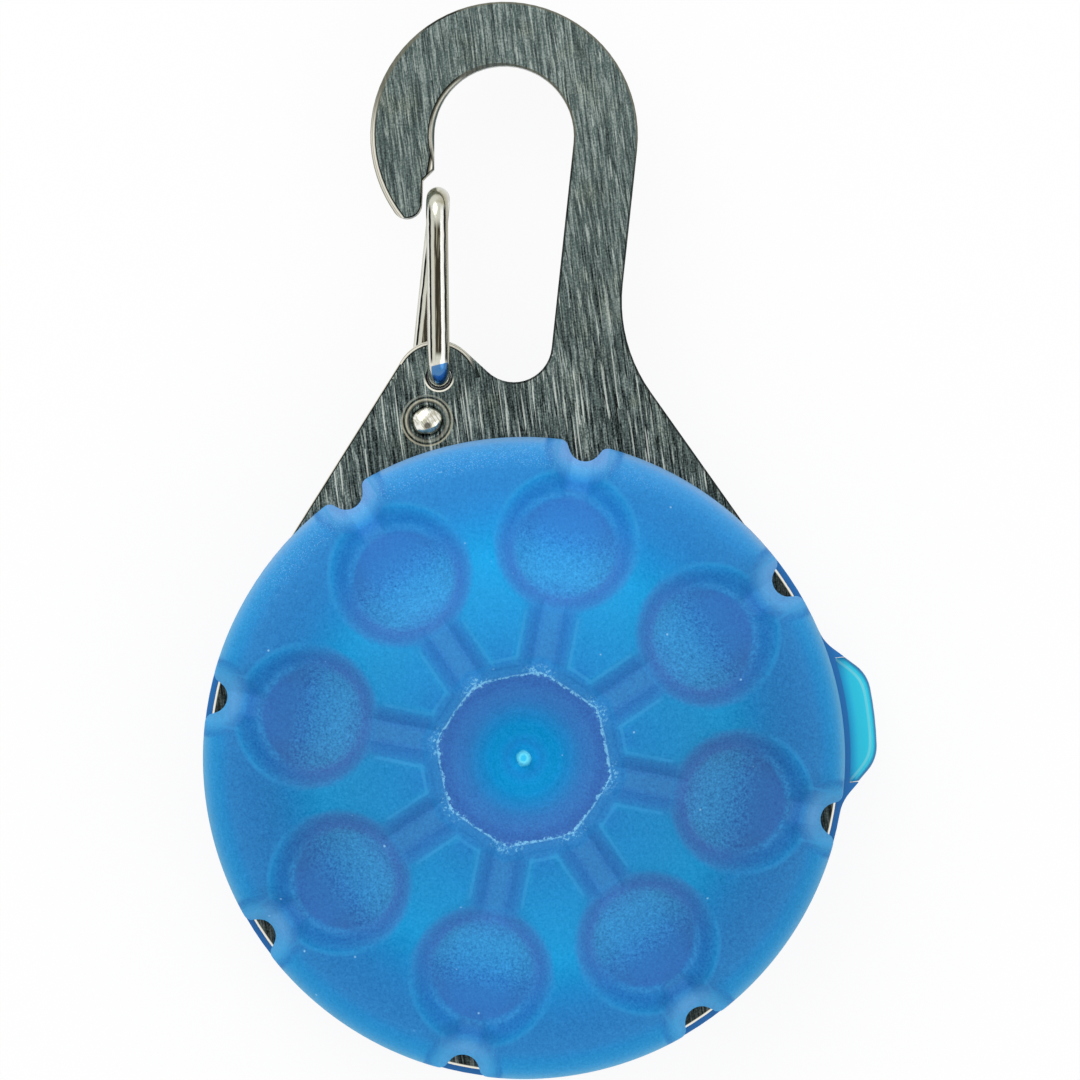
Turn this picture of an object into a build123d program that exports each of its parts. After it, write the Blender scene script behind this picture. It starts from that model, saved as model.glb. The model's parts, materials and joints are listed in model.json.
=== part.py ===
from build123d import *
from math import acos, asin, atan2, cos, degrees, hypot, radians, sin, tan
import os

# Carabiner light: a round translucent lamp on a flat steel hook with a wire gate.
# Millimetres. Z points out of the lens, Y towards the hook, X towards the button.
# The origin is the centre of the rear cover's flat resting face.

# How far a cutter runs past the surface that it cuts
overrun = 1.0

# Coin cells between a leaf spring and a clip, under the circuit board
cell_count = 2
cell_height = 1.6
cell_sheet = 0.25
cell_cap_inset = 1.3
cell_gasket_height = 0.3
contact_sheet = 0.14
contact_rise = 0.16
contact_width = 3.0
contact_inset = 2.0
contact_knee = 6.0
contact_crest = 3.0
cradle_fit = 0.15
cradle_wall = 1.25
cradle_gap = 0.5
rear_wall = 1.2
cell_floor = rear_wall + contact_rise + contact_sheet
board_level = cell_floor + cell_count * cell_height + contact_sheet + contact_rise / 2
board_thickness = 0.8
board_top = board_level + board_thickness

# Stack along Z: the plate's back lies a little above the board's underside
board_drop = 0.48
rear_height = board_level + board_drop
plate_thickness = 1.8
plate_back = rear_height
plate_front = plate_back + plate_thickness
lens_height = 5.8
lens_top = plate_front + lens_height

# Body: the lens's radius leads, and what lies inside it follows
lens_radius = 19.0
lens_lip = 0.8
lens_shoulder = 2.2
lens_wall = 1.2
lens_side_wall = 2.2
lens_cavity_radius = lens_radius - lens_side_wall
lens_cavity_lip = 0.4
lens_cavity_knee = 1.2
lens_cavity_flat = 4.0
rear_overhang = 0.05
rear_radius = lens_radius + rear_overhang
rear_lip = 1.4
rear_turn = 6.55
rear_base_radius = rear_radius - rear_turn
rear_shoulder = 2.9
rear_hollow_flat = rear_radius - 4.85
rear_hollow_knee = 2.05
disc_inset = 0.35
disc_radius = lens_radius - disc_inset
disc_width = 3.15
plate_hole_radius = disc_radius - disc_width
board_inset = 1.5
board_radius = plate_hole_radius - board_inset

# Lens pattern: eight dimples, each with a spoke towards the hub and a channel to a rim notch
arm_count = 8
arm_angle = 33.9
dimple_inset = 6.27
dimple_distance = lens_radius - dimple_inset
dimple_spacing = 1.54
dimple_outer_radius = dimple_distance * sin(radians(180 / arm_count)) - dimple_spacing / 2
dimple_bevel_width = 0.9
dimple_bowl_radius = dimple_outer_radius - dimple_bevel_width
dimple_bevel_depth = 0.9
dimple_bowl_depth = 0.5
spoke_length = 3.78
spoke_floor_width = 1.3
spoke_depth = 0.85
channel_floor_width = 1.1
channel_depth = 0.95
channel_fall = 0.75
channel_overlap = 0.4
hub_flats = dimple_distance - dimple_outer_radius - spoke_length
hub_bevel = 1.05
mouth_step = 0.12
well_rise = 2.1
well_floor_z = plate_front + well_rise
well_floor_radius = 1.1
gate_mark_radius = 0.28
gate_mark_height = 0.2
funnel_height = 1.6
trough_height = 3.0
notch_depth = 1.1
notch_floor_distance = lens_radius - notch_depth
notch_radius = 1.0
notch_corner = 0.55
rim_margin = 0.03
# A skin laid over two walls that meet at 135 degrees moves their corner by this share of its thickness
corner_share = tan(radians(22.5))

# Plate: disc, slopes, shank, hook, nose, valley and hump
edge_break = 0.12
hook_rise = 18.21
hook_centre = (-1.18, disc_radius + hook_rise)
hook_outer_radius = 7.93
hook_width = 3.79
hook_inner_radius = hook_outer_radius - hook_width
shank_lean = 6.1
right_slope = 35.3
shank_fillet = 9.3
nose_radius = 0.9
nose_reach = hook_outer_radius - nose_radius
overhang_x = hook_centre[0] - hook_inner_radius
overhang_drop = 2.01
overhang_y = hook_centre[1] - overhang_drop
notch_step = 0.66
notch_lean = 0.06
nose_across = hook_inner_radius + notch_step + notch_lean + nose_radius
notch_rise = 0.65
notch_top_y = overhang_y - notch_rise
nose_bevel_start = 170
nose_bevel = 0.34
nose_bevel_angle = 205
inner_bevel = 0.4
inner_bevel_angle = 188
valley_inset = 1.89
valley_radius = hook_inner_radius - valley_inset
valley_drop = 12.23
hump_rise = 3.65
hump_inset = 0.17
hump_centre = (overhang_x + hump_inset, disc_radius + hump_rise)
hump_radius = 2.45
hump_bevel = 0.3
hump_bevel_angle = 80
bevel_span = 150

# Wire gate and its two holes, set out from the hump
wire_radius = 0.65
wire_bend = 1.1
wire_gap = 0.25
pivot_offset = (0.12, 0.27)
pivot = (hump_centre[0] + pivot_offset[0], hump_centre[1] + pivot_offset[1])
pivot_clearance = 0.08
crossbar_drop = 1.67
crossbar_y = overhang_y - crossbar_drop
front_leg_inset = 0.2
front_leg_x = overhang_x + front_leg_inset
rear_leg_inset = 0.34
rear_leg_top_x = overhang_x + rear_leg_inset
rear_leg_throw = 1.09
rear_leg_cut_x = pivot[0] - rear_leg_throw
foot_offset = (0.71, 2.6)
foot_hole = (pivot[0] - foot_offset[0], pivot[1] - foot_offset[1])
foot_heel_rise = 1.53
foot_heel_y = foot_hole[1] + foot_heel_rise
foot_bend = 0.77
coin_radius = 1.53
coin_floor_radius = 1.3
coin_depth = 0.18
foot_well_radius = 1.0
foot_head_radius = 0.77
foot_head_height = 0.42

# Closing features between lens, plate and rear cover
latch_angles = (56.4, 146.4, 236.4, 326.4)
key_angles = (90, 270)
gasket_width = 1.0
gasket_height = 0.5
gasket_fit = 0.05
front_gasket_inset = 0.2
front_gasket_width = 0.5
shelf_top = rear_height - gasket_height
shelf_thickness = 0.9
latch_inset = 1.3
latch_inner_radius = plate_hole_radius - latch_inset
latch_thickness = 1.0
latch_span = 12.0
latch_play = 0.15
latch_barb = 0.7
latch_catch_z = shelf_top - shelf_thickness - latch_play
latch_tip_z = latch_catch_z - latch_barb
catch_span = 16.0
key_width = 1.8
key_depth = 0.7
key_fit = 0.1

# Side button, its collar on the rear cover, its seal and its switch under the board
button_angle = 6.6
collar_lip = 0.35
collar_radius = rear_radius + collar_lip
collar_width = 0.9
collar_shoulder = collar_radius + collar_width
button_reach = 1.6
button_crown = collar_radius + button_reach
button_corner_y = 2.43
button_foot_y = 4.24
button_corner_round = 2.2
button_foot_round = 2.6
button_half_width = 3.7
button_height = 2.1
button_fit = 0.05
button_round = 0.35
button_travel = 0.5
boss_radius = 10.0
boss_spread = 0.6
seat_inset = 1.85
seat_x = rear_radius - seat_inset
seat_margin = 0.4
seal_thickness = 0.4
flange_margin = 0.75
flange_height_margin = 0.3
flange_thickness = 0.6
flange_x = seat_x - seal_thickness - button_fit - flange_thickness
switch_gap = 1.15
switch_front = flange_x - switch_gap
switch_width = 4.4
switch_length = 3.1
switch_height = 3.14
button_middle = board_level - switch_height / 2
button_low = button_middle - button_height / 2
button_high = button_middle + button_height / 2
plunger_radius = 0.8
plunger_depth = 1.2
plunger_rest = 0.1
cradle_radius = switch_front - switch_length - cradle_gap
cell_radius = cradle_radius - cradle_wall - cradle_fit
cell_cap_radius = cell_radius - cell_cap_inset
contact_reach = cell_radius - contact_inset

# Lamp and chips on the board
led_width = 2.8
led_length = 3.5
led_base_height = 0.7
led_dome_radius = 0.9
chip_inset = 7.5
control_chip_at = (board_radius - chip_inset, -4.0)
control_chip_size = (3.0, 3.0, 0.75)
capacitor_at = (chip_inset - board_radius, 4.5)
capacitor_size = (2.0, 1.25, 0.9)
resistor_inset = 6.5
resistor_row_y = resistor_inset - board_radius
resistor_row_x = (-3.0, -1.0, 1.0)
resistor_size = (0.8, 1.6, 0.45)


def polar(radius, angle):
    return (radius * cos(radians(angle)), radius * sin(radians(angle)))


def offset_point(point, radius, angle):
    step = polar(radius, angle)
    return (point[0] + step[0], point[1] + step[1])


def heading(centre_a, radius_a, centre_b, radius_b):
    # Heading of the line that leaves circle a and meets circle b.
    # A positive radius has its centre on the left of the travel, a negative one on the right.
    across = centre_b[0] - centre_a[0]
    along = centre_b[1] - centre_a[1]
    lift = asin((radius_b - radius_a) / hypot(across, along))
    return degrees(atan2(along, across) - lift)


def around(shape, angles):
    return [Rot(0, 0, angle) * shape for angle in angles]


def ring(outer_radius, inner_radius, low, high):
    height = high - low
    solid = Cylinder(outer_radius, height) - Cylinder(inner_radius, height)
    return Pos(0, 0, (low + high) / 2) * solid


def block(low, high):
    size = [b - a for a, b in zip(low, high)]
    centre = [(a + b) / 2 for a, b in zip(low, high)]
    return Pos(*centre) * Box(*size)


def is_flat_edge(edge):
    return abs((edge @ 0).Z - (edge @ 1).Z) < 0.001


# ---- carabiner plate ----

def plate_outline():
    # Anticlockwise, with the steel on the left
    hook = Vector(*hook_centre)
    shank_side = Vector(*polar(1, -shank_lean))
    shank_down = Vector(*polar(1, -90 - shank_lean))
    slope_side = Vector(*polar(1, right_slope))

    valley = hook + shank_side * valley_inset + shank_down * valley_drop
    valley_at = (valley.X, valley.Y)
    to_hump = heading(valley_at, -valley_radius, hump_centre, hump_radius)
    to_disc = heading(hump_centre, hump_radius, (0, 0), disc_radius)
    disc_start = to_disc - 90

    # Centre of the concave fillet, from its distances to the shank and to the right slope
    reach_shank = hook.dot(shank_side) + hook_outer_radius + shank_fillet
    reach_slope = disc_radius + shank_fillet
    turn = shank_side.X * slope_side.Y - shank_side.Y * slope_side.X
    fillet_x = (reach_shank * slope_side.Y - reach_slope * shank_side.Y) / turn
    fillet_y = (reach_slope * shank_side.X - reach_shank * slope_side.X) / turn
    fillet_at = (fillet_x, fillet_y)

    # The nose ends in a small arc inside the hook's outer circle
    nose_angle = 180 + degrees(acos(nose_across / nose_reach))
    nose_at = offset_point(hook_centre, nose_reach, nose_angle)
    notch_wall_x = overhang_x - notch_step

    disc_arc = CenterArc((0, 0), disc_radius, disc_start, right_slope + 360 - disc_start)
    waist_arc = CenterArc(fillet_at, shank_fillet, 180 + right_slope, -shank_lean - right_slope)
    top_arc = CenterArc(hook_centre, hook_outer_radius, -shank_lean, nose_bevel_start + shank_lean)
    side_arc = CenterArc(hook_centre, hook_outer_radius, nose_bevel_start, nose_angle - nose_bevel_start)
    nose_arc = CenterArc(nose_at, nose_radius, nose_angle, 360 - nose_angle)
    inner_arc = CenterArc(hook_centre, hook_inner_radius, 180, -180 - shank_lean)
    valley_sweep = to_hump + 90 - (360 - shank_lean)
    valley_arc = CenterArc(valley_at, valley_radius, -shank_lean, valley_sweep)
    hump_arc = CenterArc(hump_centre, hump_radius, to_hump - 90, to_disc - to_hump)

    return Wire([
        disc_arc,
        Line(disc_arc @ 1, waist_arc @ 0),
        waist_arc,
        Line(waist_arc @ 1, top_arc @ 0),
        top_arc,
        side_arc,
        nose_arc,
        Line(nose_arc @ 1, (notch_wall_x, notch_top_y)),
        Line((notch_wall_x, notch_top_y), (overhang_x, overhang_y)),
        Line((overhang_x, overhang_y), inner_arc @ 0),
        inner_arc,
        Line(inner_arc @ 1, valley_arc @ 0),
        valley_arc,
        Line(valley_arc @ 1, hump_arc @ 0),
        hump_arc,
        Line(hump_arc @ 1, disc_arc @ 0),
    ])


def carabiner_plate():
    plate = extrude(make_face(plate_outline()), plate_thickness)
    plate = chamfer(plate.edges().filter_by(is_flat_edge), edge_break)
    plate -= Pos(0, 0, plate_thickness / 2) * Cylinder(plate_hole_radius, plate_thickness)
    slot_reach = plate_hole_radius + key_depth + key_fit
    slot_half = key_width / 2 + key_fit
    slot = block((0, -slot_half, 0), (slot_reach, slot_half, plate_thickness))
    for cut in around(slot, key_angles):
        plate -= cut
    hole_radius = wire_radius + pivot_clearance
    for centre in (pivot, foot_hole):
        plate -= Pos(*centre, plate_thickness / 2) * Cylinder(hole_radius, plate_thickness)
    floor_z = plate_thickness - coin_depth
    coin = Pos(0, 0, plate_thickness - coin_depth / 2)
    coin *= Cone(coin_floor_radius, coin_radius, coin_depth)
    well = Pos(0, 0, floor_z - coin_depth / 2)
    well *= Cone(hole_radius, foot_well_radius, coin_depth)
    plate -= Pos(*foot_hole, 0) * (coin + well)
    plate -= outer_bevel(hook_centre, hook_outer_radius, nose_bevel_angle, nose_bevel)
    plate -= outer_bevel(hump_centre, hump_radius, hump_bevel_angle, hump_bevel)
    plate -= inner_bevel_cone(hook_centre, hook_inner_radius, inner_bevel_angle, inner_bevel)
    return Pos(0, 0, plate_back) * plate


def outer_bevel(centre, radius, angle, width):
    # A bevel on a round edge, widest at one angle and fading on both sides of it
    cone = Pos(-width / 2, 0) * Cone(radius + width / 2, radius - width / 2, width)
    skin = Cylinder(radius + width, width) - cone
    skin &= wedge(bevel_span, -width, width)
    return Pos(*centre, plate_thickness - width / 2) * Rot(0, 0, angle) * skin


def inner_bevel_cone(centre, radius, angle, width):
    # The same on the edge of a round opening
    cone = Pos(width / 2, 0) * Cone(radius - width / 2, radius + width / 2, width)
    return Pos(*centre, plate_thickness - width / 2) * Rot(0, 0, angle) * cone


# ---- wire gate ----

def wire_levels():
    rear_level = plate_back - wire_gap - wire_radius
    front_level = plate_front + wire_gap + wire_radius
    return rear_level, front_level


def wire_along(points, bend):
    path = FilletPolyline(*points, radius=bend)
    section = Plane(path @ 0, z_dir=path % 0) * Circle(wire_radius)
    return sweep(section, path=path)


def gate_wire():
    rear_level, front_level = wire_levels()
    lean = (rear_leg_top_x - rear_leg_cut_x) / (crossbar_y - pivot[1])
    leg_end = (rear_leg_cut_x - lean * overrun, pivot[1] - overrun, rear_level)
    wire = wire_along([
        leg_end,
        (rear_leg_top_x, crossbar_y, rear_level),
        (front_leg_x, crossbar_y, front_level),
        (pivot[0], pivot[1], front_level),
        (pivot[0], pivot[1], plate_back + wire_gap),
    ], wire_bend)
    # The rear leg is parted on the level of the pivot, where it meets the gate foot
    reach = 2 * wire_radius
    trim = block((rear_leg_cut_x - reach - overrun, pivot[1] - 2 * overrun, rear_level - reach),
                 (rear_leg_cut_x + reach, pivot[1], rear_level + wire_radius + wire_gap / 2))
    return wire - trim


def gate_foot():
    rear_level, front_level = wire_levels()
    lean = (rear_leg_top_x - rear_leg_cut_x) / (crossbar_y - pivot[1])
    start = (rear_leg_cut_x + lean * overrun, pivot[1] + overrun, rear_level)
    heel = (rear_leg_cut_x - lean * (pivot[1] - foot_heel_y), foot_heel_y, rear_level)
    head_floor = plate_front - coin_depth
    wire = wire_along([
        start,
        heel,
        (foot_hole[0], foot_hole[1], rear_level),
        (foot_hole[0], foot_hole[1], head_floor),
    ], foot_bend)
    reach = 2 * wire_radius
    trim = block((rear_leg_cut_x - reach, pivot[1], rear_level - reach),
                 (rear_leg_cut_x + reach, pivot[1] + 2 * overrun, rear_level + reach))
    # Peened head: a low dome over the hole
    cap_radius = (foot_head_radius ** 2 + foot_head_height ** 2) / (2 * foot_head_height)
    cap = Pos(0, 0, foot_head_height - cap_radius) * Sphere(cap_radius)
    cap &= Pos(0, 0, foot_head_height / 2) * Cylinder(foot_head_radius, foot_head_height)
    return wire - trim + Pos(*foot_hole, head_floor) * cap


# ---- lens cover ----

def shoulder_turn(width, rise, shoulder):
    # Large radius and joining angle of a quarter oval: a small arc at its side, a large one over its top
    gap = width - shoulder
    large = (gap ** 2 + rise ** 2 - shoulder ** 2) / (2 * (rise - shoulder))
    return large, degrees(atan2(large - rise, gap))


def quarter_oval(inner, side_z, width, rise, shoulder, way):
    # From (inner + width, side_z), where it stands upright, to (inner, side_z + way * rise), flat
    large, angle = shoulder_turn(width, rise, shoulder)
    side = CenterArc((inner + width - shoulder, side_z), shoulder, 0, way * angle)
    top = CenterArc((inner, side_z + way * (rise - large)), large, way * angle, way * (90 - angle))
    return [side, top]


def dome(radius, low, lip, top, shoulder):
    # A short upright lip under a half oval
    side_z = low + lip
    arcs = quarter_oval(0, side_z, radius, top - side_z, shoulder, 1)
    sides = Polyline((0, top), (0, low), (radius, low), (radius, side_z))
    solid = revolve(Plane.XZ * make_face(Wire([*arcs, *sides.edges()])), Axis.Z)
    # Turned so that its seam lies between two arms of the pattern
    return Rot(0, 0, arm_angle - 180 / arm_count) * solid


def straight_hollow(points):
    # Inside of a cover: a revolved shape of straight stretches, open downwards or upwards
    return revolve(Plane.XZ * make_face(Polyline(*points, close=True)), Axis.Z)


def lens_surface(distance):
    # Height of the lens's crown before its pattern is cut
    rise = lens_height - lens_lip
    large = shoulder_turn(lens_radius, rise, lens_shoulder)[0]
    return lens_top - large + (large ** 2 - distance ** 2) ** 0.5


def trough(start, end, start_z, end_z, floor_width, grow):
    # A groove with sides at 45 degrees, running outwards from the hub; grow enlarges it all round
    fall = degrees(atan2(start_z - end_z, end - start))
    half = floor_width / 2 + grow * corner_share
    wide = half + trough_height
    high = trough_height - grow
    profile = Polyline((-half, -grow), (half, -grow), (wide, high), (-wide, high), close=True)
    along = (cos(radians(fall)), 0, -sin(radians(fall)))
    frame = Plane(origin=(start, 0, start_z), x_dir=(0, 1, 0), z_dir=along)
    return extrude(frame * make_face(profile), hypot(end - start, start_z - end_z))


def dimple_tilt():
    # The dimples stand square to the dome
    rise = lens_height - lens_lip
    large = shoulder_turn(lens_radius, rise, lens_shoulder)[0]
    return degrees(asin(dimple_distance / large))


def dimple(grow):
    # A bevelled ring round a shallow bowl; its backing inside the wall is flat
    slope = dimple_bevel_width / dimple_bevel_depth
    bowl = dimple_bowl_radius + grow * corner_share
    floor = -dimple_bevel_depth - grow
    apex = floor - dimple_bowl_depth
    rim = bowl + slope * (overrun - floor)
    if grow:
        bottom = Polyline((0, apex), (bowl, apex), (bowl, floor))
    else:
        bottom = ThreePointArc((0, apex), bowl_middle(bowl, dimple_bowl_depth, apex), (bowl, floor))
    outline = Polyline((bowl, floor), (rim, overrun), (0, overrun), (0, apex))
    solid = revolve(Plane.XZ * make_face(Wire([*bottom.edges(), *outline.edges()])), Axis.Z)
    return Pos(dimple_distance, 0, lens_surface(dimple_distance)) * Rot(0, dimple_tilt(), 0) * solid


def bowl_middle(radius, depth, apex):
    # Middle of a bowl's arc, on a circle centred above the apex
    curve = (radius ** 2 + depth ** 2) / (2 * depth)
    half_turn = asin(radius / curve) / 2
    return (curve * sin(half_turn), apex + curve * (1 - cos(half_turn)))


def arm_cut(grow):
    # One dimple with its spoke groove and its channel to the rim
    hub_z = lens_surface(hub_flats) - spoke_depth
    ring_z = lens_surface(dimple_distance - dimple_outer_radius) - spoke_depth
    spoke = trough(hub_flats - hub_bevel, dimple_distance - dimple_bowl_radius, hub_z, ring_z,
                   spoke_floor_width, grow)
    near = dimple_distance + dimple_bowl_radius - channel_overlap
    far = lens_radius + overrun
    near_z = lens_surface(near) - channel_depth
    far_z = near_z - (far - near) * channel_fall
    channel = trough(near, far, near_z, far_z, channel_floor_width, grow)
    return dimple(grow) + spoke + channel


def octagon(distance, level):
    return Pos(0, 0, level) * RegularPolygon(distance, arm_count, False, arm_angle).face()


def hub_cut(grow):
    # Octagonal funnel down to the mouth of the well, then a cone towards the lamp
    mouth_z = lens_surface(hub_flats) - spoke_depth - grow
    mouth = hub_flats + grow * corner_share
    spread = funnel_height * hub_bevel / spoke_depth
    top = octagon(mouth + spread, mouth_z + funnel_height)
    funnel = loft([octagon(mouth, mouth_z), top], ruled=True)
    floor = octagon(well_floor_radius, well_floor_z - grow)
    well = loft([floor, octagon(mouth - mouth_step, mouth_z)], ruled=True)
    return funnel + well


def notched_rim():
    # The lens's outline with its rounded bites, a little large so that only the bites cut
    disc = Rot(0, 0, arm_angle) * Circle(lens_radius + rim_margin)
    bite = Pos(notch_floor_distance + notch_radius, 0) * Circle(notch_radius)
    for cut in around(bite, arm_angles()):
        disc -= cut
    disc = fillet(disc.vertices(), notch_corner)
    return Pos(0, 0, plate_front - overrun) * extrude(disc, lens_height + 2 * overrun)


def arm_angles():
    return [arm_angle + 360 / arm_count * index for index in range(arm_count)]


def latch():
    # Snap arm on the lens: passes the plate's hole and catches under the rear cover's shelf
    outer = latch_inner_radius + latch_thickness
    arm = ring(outer, latch_inner_radius, latch_tip_z, lens_top)
    barb = Cone(outer, outer + latch_barb, latch_barb) - Cylinder(latch_inner_radius, latch_barb)
    barb = Pos(0, 0, latch_tip_z + latch_barb / 2) * barb
    return (arm + barb) & wedge(latch_span, latch_tip_z, lens_top)


def wedge(span, low, high):
    # Its far side lies beyond the body
    reach = rear_radius + overrun
    half = reach * tan(radians(span / 2))
    face = make_face(Polyline((0, 0), (reach, -half), (reach, half), close=True))
    return Pos(0, 0, low) * extrude(face, high - low)


def lens_cover():
    full = dome(lens_radius, plate_front, lens_lip, lens_top, lens_shoulder)
    # The inside keeps a wall's thickness off every hollow of the pattern
    knee_radius = lens_cavity_radius - lens_cavity_knee
    cavity_top = lens_surface(lens_cavity_flat) - lens_wall
    cavity = straight_hollow([
        (0, plate_front),
        (lens_cavity_radius, plate_front),
        (lens_cavity_radius, plate_front + lens_cavity_lip),
        (knee_radius, lens_surface(knee_radius) - lens_wall),
        (lens_cavity_flat, cavity_top),
        (0, cavity_top),
    ])
    for backing in around(arm_cut(lens_wall), arm_angles()):
        cavity -= backing
    cavity -= hub_cut(lens_wall)
    lens = (full & notched_rim()) - cavity
    # Latches and keys stand in the cavity and reach down through the plate's hole
    reach = full + below(plate_front + lens_cavity_lip)
    for post in around(latch(), latch_angles) + around(key_rib(), key_angles):
        lens += post & reach
    for cut in around(arm_cut(0), arm_angles()):
        lens -= cut
    lens -= hub_cut(0)
    mark_z = well_floor_z + gate_mark_height / 2
    lens += Pos(0, 0, mark_z) * Cylinder(gate_mark_radius, gate_mark_height)
    return lens - gasket_ring(plate_front, gasket_fit)


def below(level):
    return Pos(0, 0, level / 2) * Cylinder(lens_cavity_radius, level)


def key_rib():
    key_low = plate_back + key_fit
    key_inner = plate_hole_radius - key_depth
    key_outer = plate_hole_radius + key_depth
    return block((key_inner, -key_width / 2, key_low), (key_outer, key_width / 2, lens_top))


# ---- gaskets ----

def gasket_ring(low, grow):
    inner_radius = lens_cavity_radius + front_gasket_inset - grow
    outer_radius = inner_radius + front_gasket_width + 2 * grow
    return ring(outer_radius, inner_radius, low, low + gasket_height + grow)


def front_gasket():
    return gasket_ring(plate_front, 0)


def rear_gasket():
    outer_radius = rear_radius - rear_wall - gasket_fit
    return ring(outer_radius, outer_radius - gasket_width, plate_back - gasket_height, plate_back)


# ---- rear cover ----

def bowl_solid(radius, base_radius, low, shoulder):
    # Flat floor, a quarter oval up to the side, then an upright lip
    side_z = rear_height - rear_lip
    arcs = quarter_oval(base_radius, side_z, radius - base_radius, side_z - low, shoulder, -1)
    sides = Polyline((base_radius, low), (0, low), (0, rear_height), (radius, rear_height), (radius, side_z))
    return revolve(Plane.XZ * make_face(Wire([*arcs, *sides.edges()])), Axis.Z)


def button_shape():
    # Front view of the button and its collar: a crown on two flared shoulders
    flare = (button_foot_y - button_corner_y) / (button_crown - rear_radius)
    inner_x = rear_radius - 2 * overrun
    outer_x = button_crown + overrun
    inner_y = button_foot_y + flare * 2 * overrun
    outer_y = button_corner_y - flare * overrun
    left = [(inner_x, -inner_y), (outer_x, -outer_y)]
    right = [(outer_x, outer_y), (inner_x, inner_y)]
    crown = make_face(Polyline(*left, *right, close=True)) & Circle(button_crown)
    convex = [corner for corner in crown.vertices() if corner.X > rear_radius]
    crown = fillet(convex, button_corner_round)
    shape = crown + Circle(rear_radius)
    feet = [corner for corner in shape.vertices() if abs(hypot(corner.X, corner.Y) - rear_radius) < 0.01]
    return fillet(feet, button_foot_round)


def button_prism(low, high):
    return Pos(0, 0, low) * extrude(button_shape(), high - low)


def collar_body():
    # A boss of smaller plan than the cover, so that its rounded underside closes into the cover's
    boss_at = collar_shoulder - boss_radius
    boss_base = rear_base_radius - boss_at + boss_spread
    boss = Pos(boss_at, 0, 0) * bowl_solid(boss_radius, boss_base, 0, rear_shoulder)
    boss &= button_prism(0, rear_height)
    half = button_half_width + button_fit
    front = block((0, -half, 0), (button_crown + overrun, half, rear_height))
    front -= Pos(0, 0, rear_height / 2) * Cylinder(collar_radius, rear_height)
    return boss - front


def rear_cover():
    outer = bowl_solid(rear_radius, rear_base_radius, 0, rear_shoulder)
    outer += Rot(0, 0, button_angle) * collar_body()
    side_radius = rear_radius - rear_wall
    inner = straight_hollow([
        (0, rear_height),
        (side_radius, rear_height),
        (side_radius, rear_height - rear_lip),
        (rear_radius - rear_hollow_knee, 2 * rear_wall),
        (rear_hollow_flat, rear_wall),
        (0, rear_wall),
    ])

    # Flat seat inside the wall for the button's seal
    seat_half = button_half_width + flange_margin + seat_margin
    shelf_low = shelf_top - shelf_thickness
    seat = block((seat_x, -seat_half, 0), (rear_radius, seat_half, shelf_top))
    inner -= Rot(0, 0, button_angle) * seat
    flange_half = button_half_width + flange_margin + button_fit
    flange_low = button_low - flange_height_margin - button_fit
    pocket = block((board_radius, -flange_half, flange_low), (seat_x, flange_half, shelf_top))

    # Shelf under the gasket, with a catch for each latch, left out behind the button
    catch_inner = latch_inner_radius + latch_thickness + latch_play
    shelf = ring(side_radius, side_radius - gasket_width - gasket_fit, shelf_low, shelf_top)
    catch = ring(side_radius, catch_inner, shelf_low, shelf_top) & wedge(catch_span, shelf_low, shelf_top)
    shelf -= Rot(0, 0, button_angle) * block((0, -seat_half, 0), (rear_radius, seat_half, rear_height))
    inner -= shelf
    for tongue in around(catch, latch_angles):
        inner -= tongue

    window_half = button_half_width + button_fit
    window_low = button_low - button_fit
    window_high = button_high + button_fit
    window = block((seat_x - overrun, -window_half, window_low),
                   (button_crown + overrun, window_half, window_high))
    return outer - inner - Rot(0, 0, button_angle) * (pocket + window)


# ---- side button ----

def side_button():
    stem = block((seat_x - seal_thickness - button_fit, -button_half_width, button_low),
                 (button_crown + overrun, button_half_width, button_high))
    pad = stem & button_prism(button_low, button_high)
    crown_edges = [edge for edge in pad.edges()
                   if edge.center().X > collar_radius and is_flat_edge(edge)]
    pad = fillet(crown_edges, button_round)
    flange_half = button_half_width + flange_margin
    flange = block((flange_x, -flange_half, button_low - flange_height_margin),
                   (flange_x + flange_thickness, flange_half, button_high + flange_height_margin))
    return Rot(0, 0, button_angle) * (pad + flange)


def button_seal():
    half = button_half_width + flange_margin
    outer = block((seat_x - seal_thickness, -half, button_low - flange_height_margin),
                  (seat_x, half, button_high + flange_height_margin))
    hole_half = button_half_width + button_fit
    hole = block((seat_x - seal_thickness, -hole_half, button_low - button_fit),
                 (seat_x, hole_half, button_high + button_fit))
    return Rot(0, 0, button_angle) * (outer - hole)


def switch_case():
    case = block((switch_front - switch_length, -switch_width / 2, board_level - switch_height),
                 (switch_front, switch_width / 2, board_level))
    bore = Pos(switch_front - plunger_depth / 2, 0, button_middle) * Rot(0, 90, 0)
    bore *= Cylinder(plunger_radius + button_fit, plunger_depth)
    return Rot(0, 0, button_angle) * (case - bore)


def switch_plunger():
    inner_end = switch_front - plunger_depth + button_travel + plunger_rest
    length = flange_x - inner_end
    rod = Pos(inner_end + length / 2, 0, button_middle) * Rot(0, 90, 0) * Cylinder(plunger_radius, length)
    return Rot(0, 0, button_angle) * rod


# ---- power ----

def cell_level(index):
    return cell_floor + index * cell_height


def cell_can(index):
    low = cell_level(index)
    can = Pos(0, 0, low + cell_height / 2) * Cylinder(cell_radius, cell_height)
    hollow = cell_height - cell_sheet
    can -= Pos(0, 0, low + hollow / 2) * Cylinder(cell_radius - cell_sheet, hollow)
    lip = ring(cell_radius, cell_cap_radius + 2 * cell_sheet, low, low + cell_sheet)
    return can + lip


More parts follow.
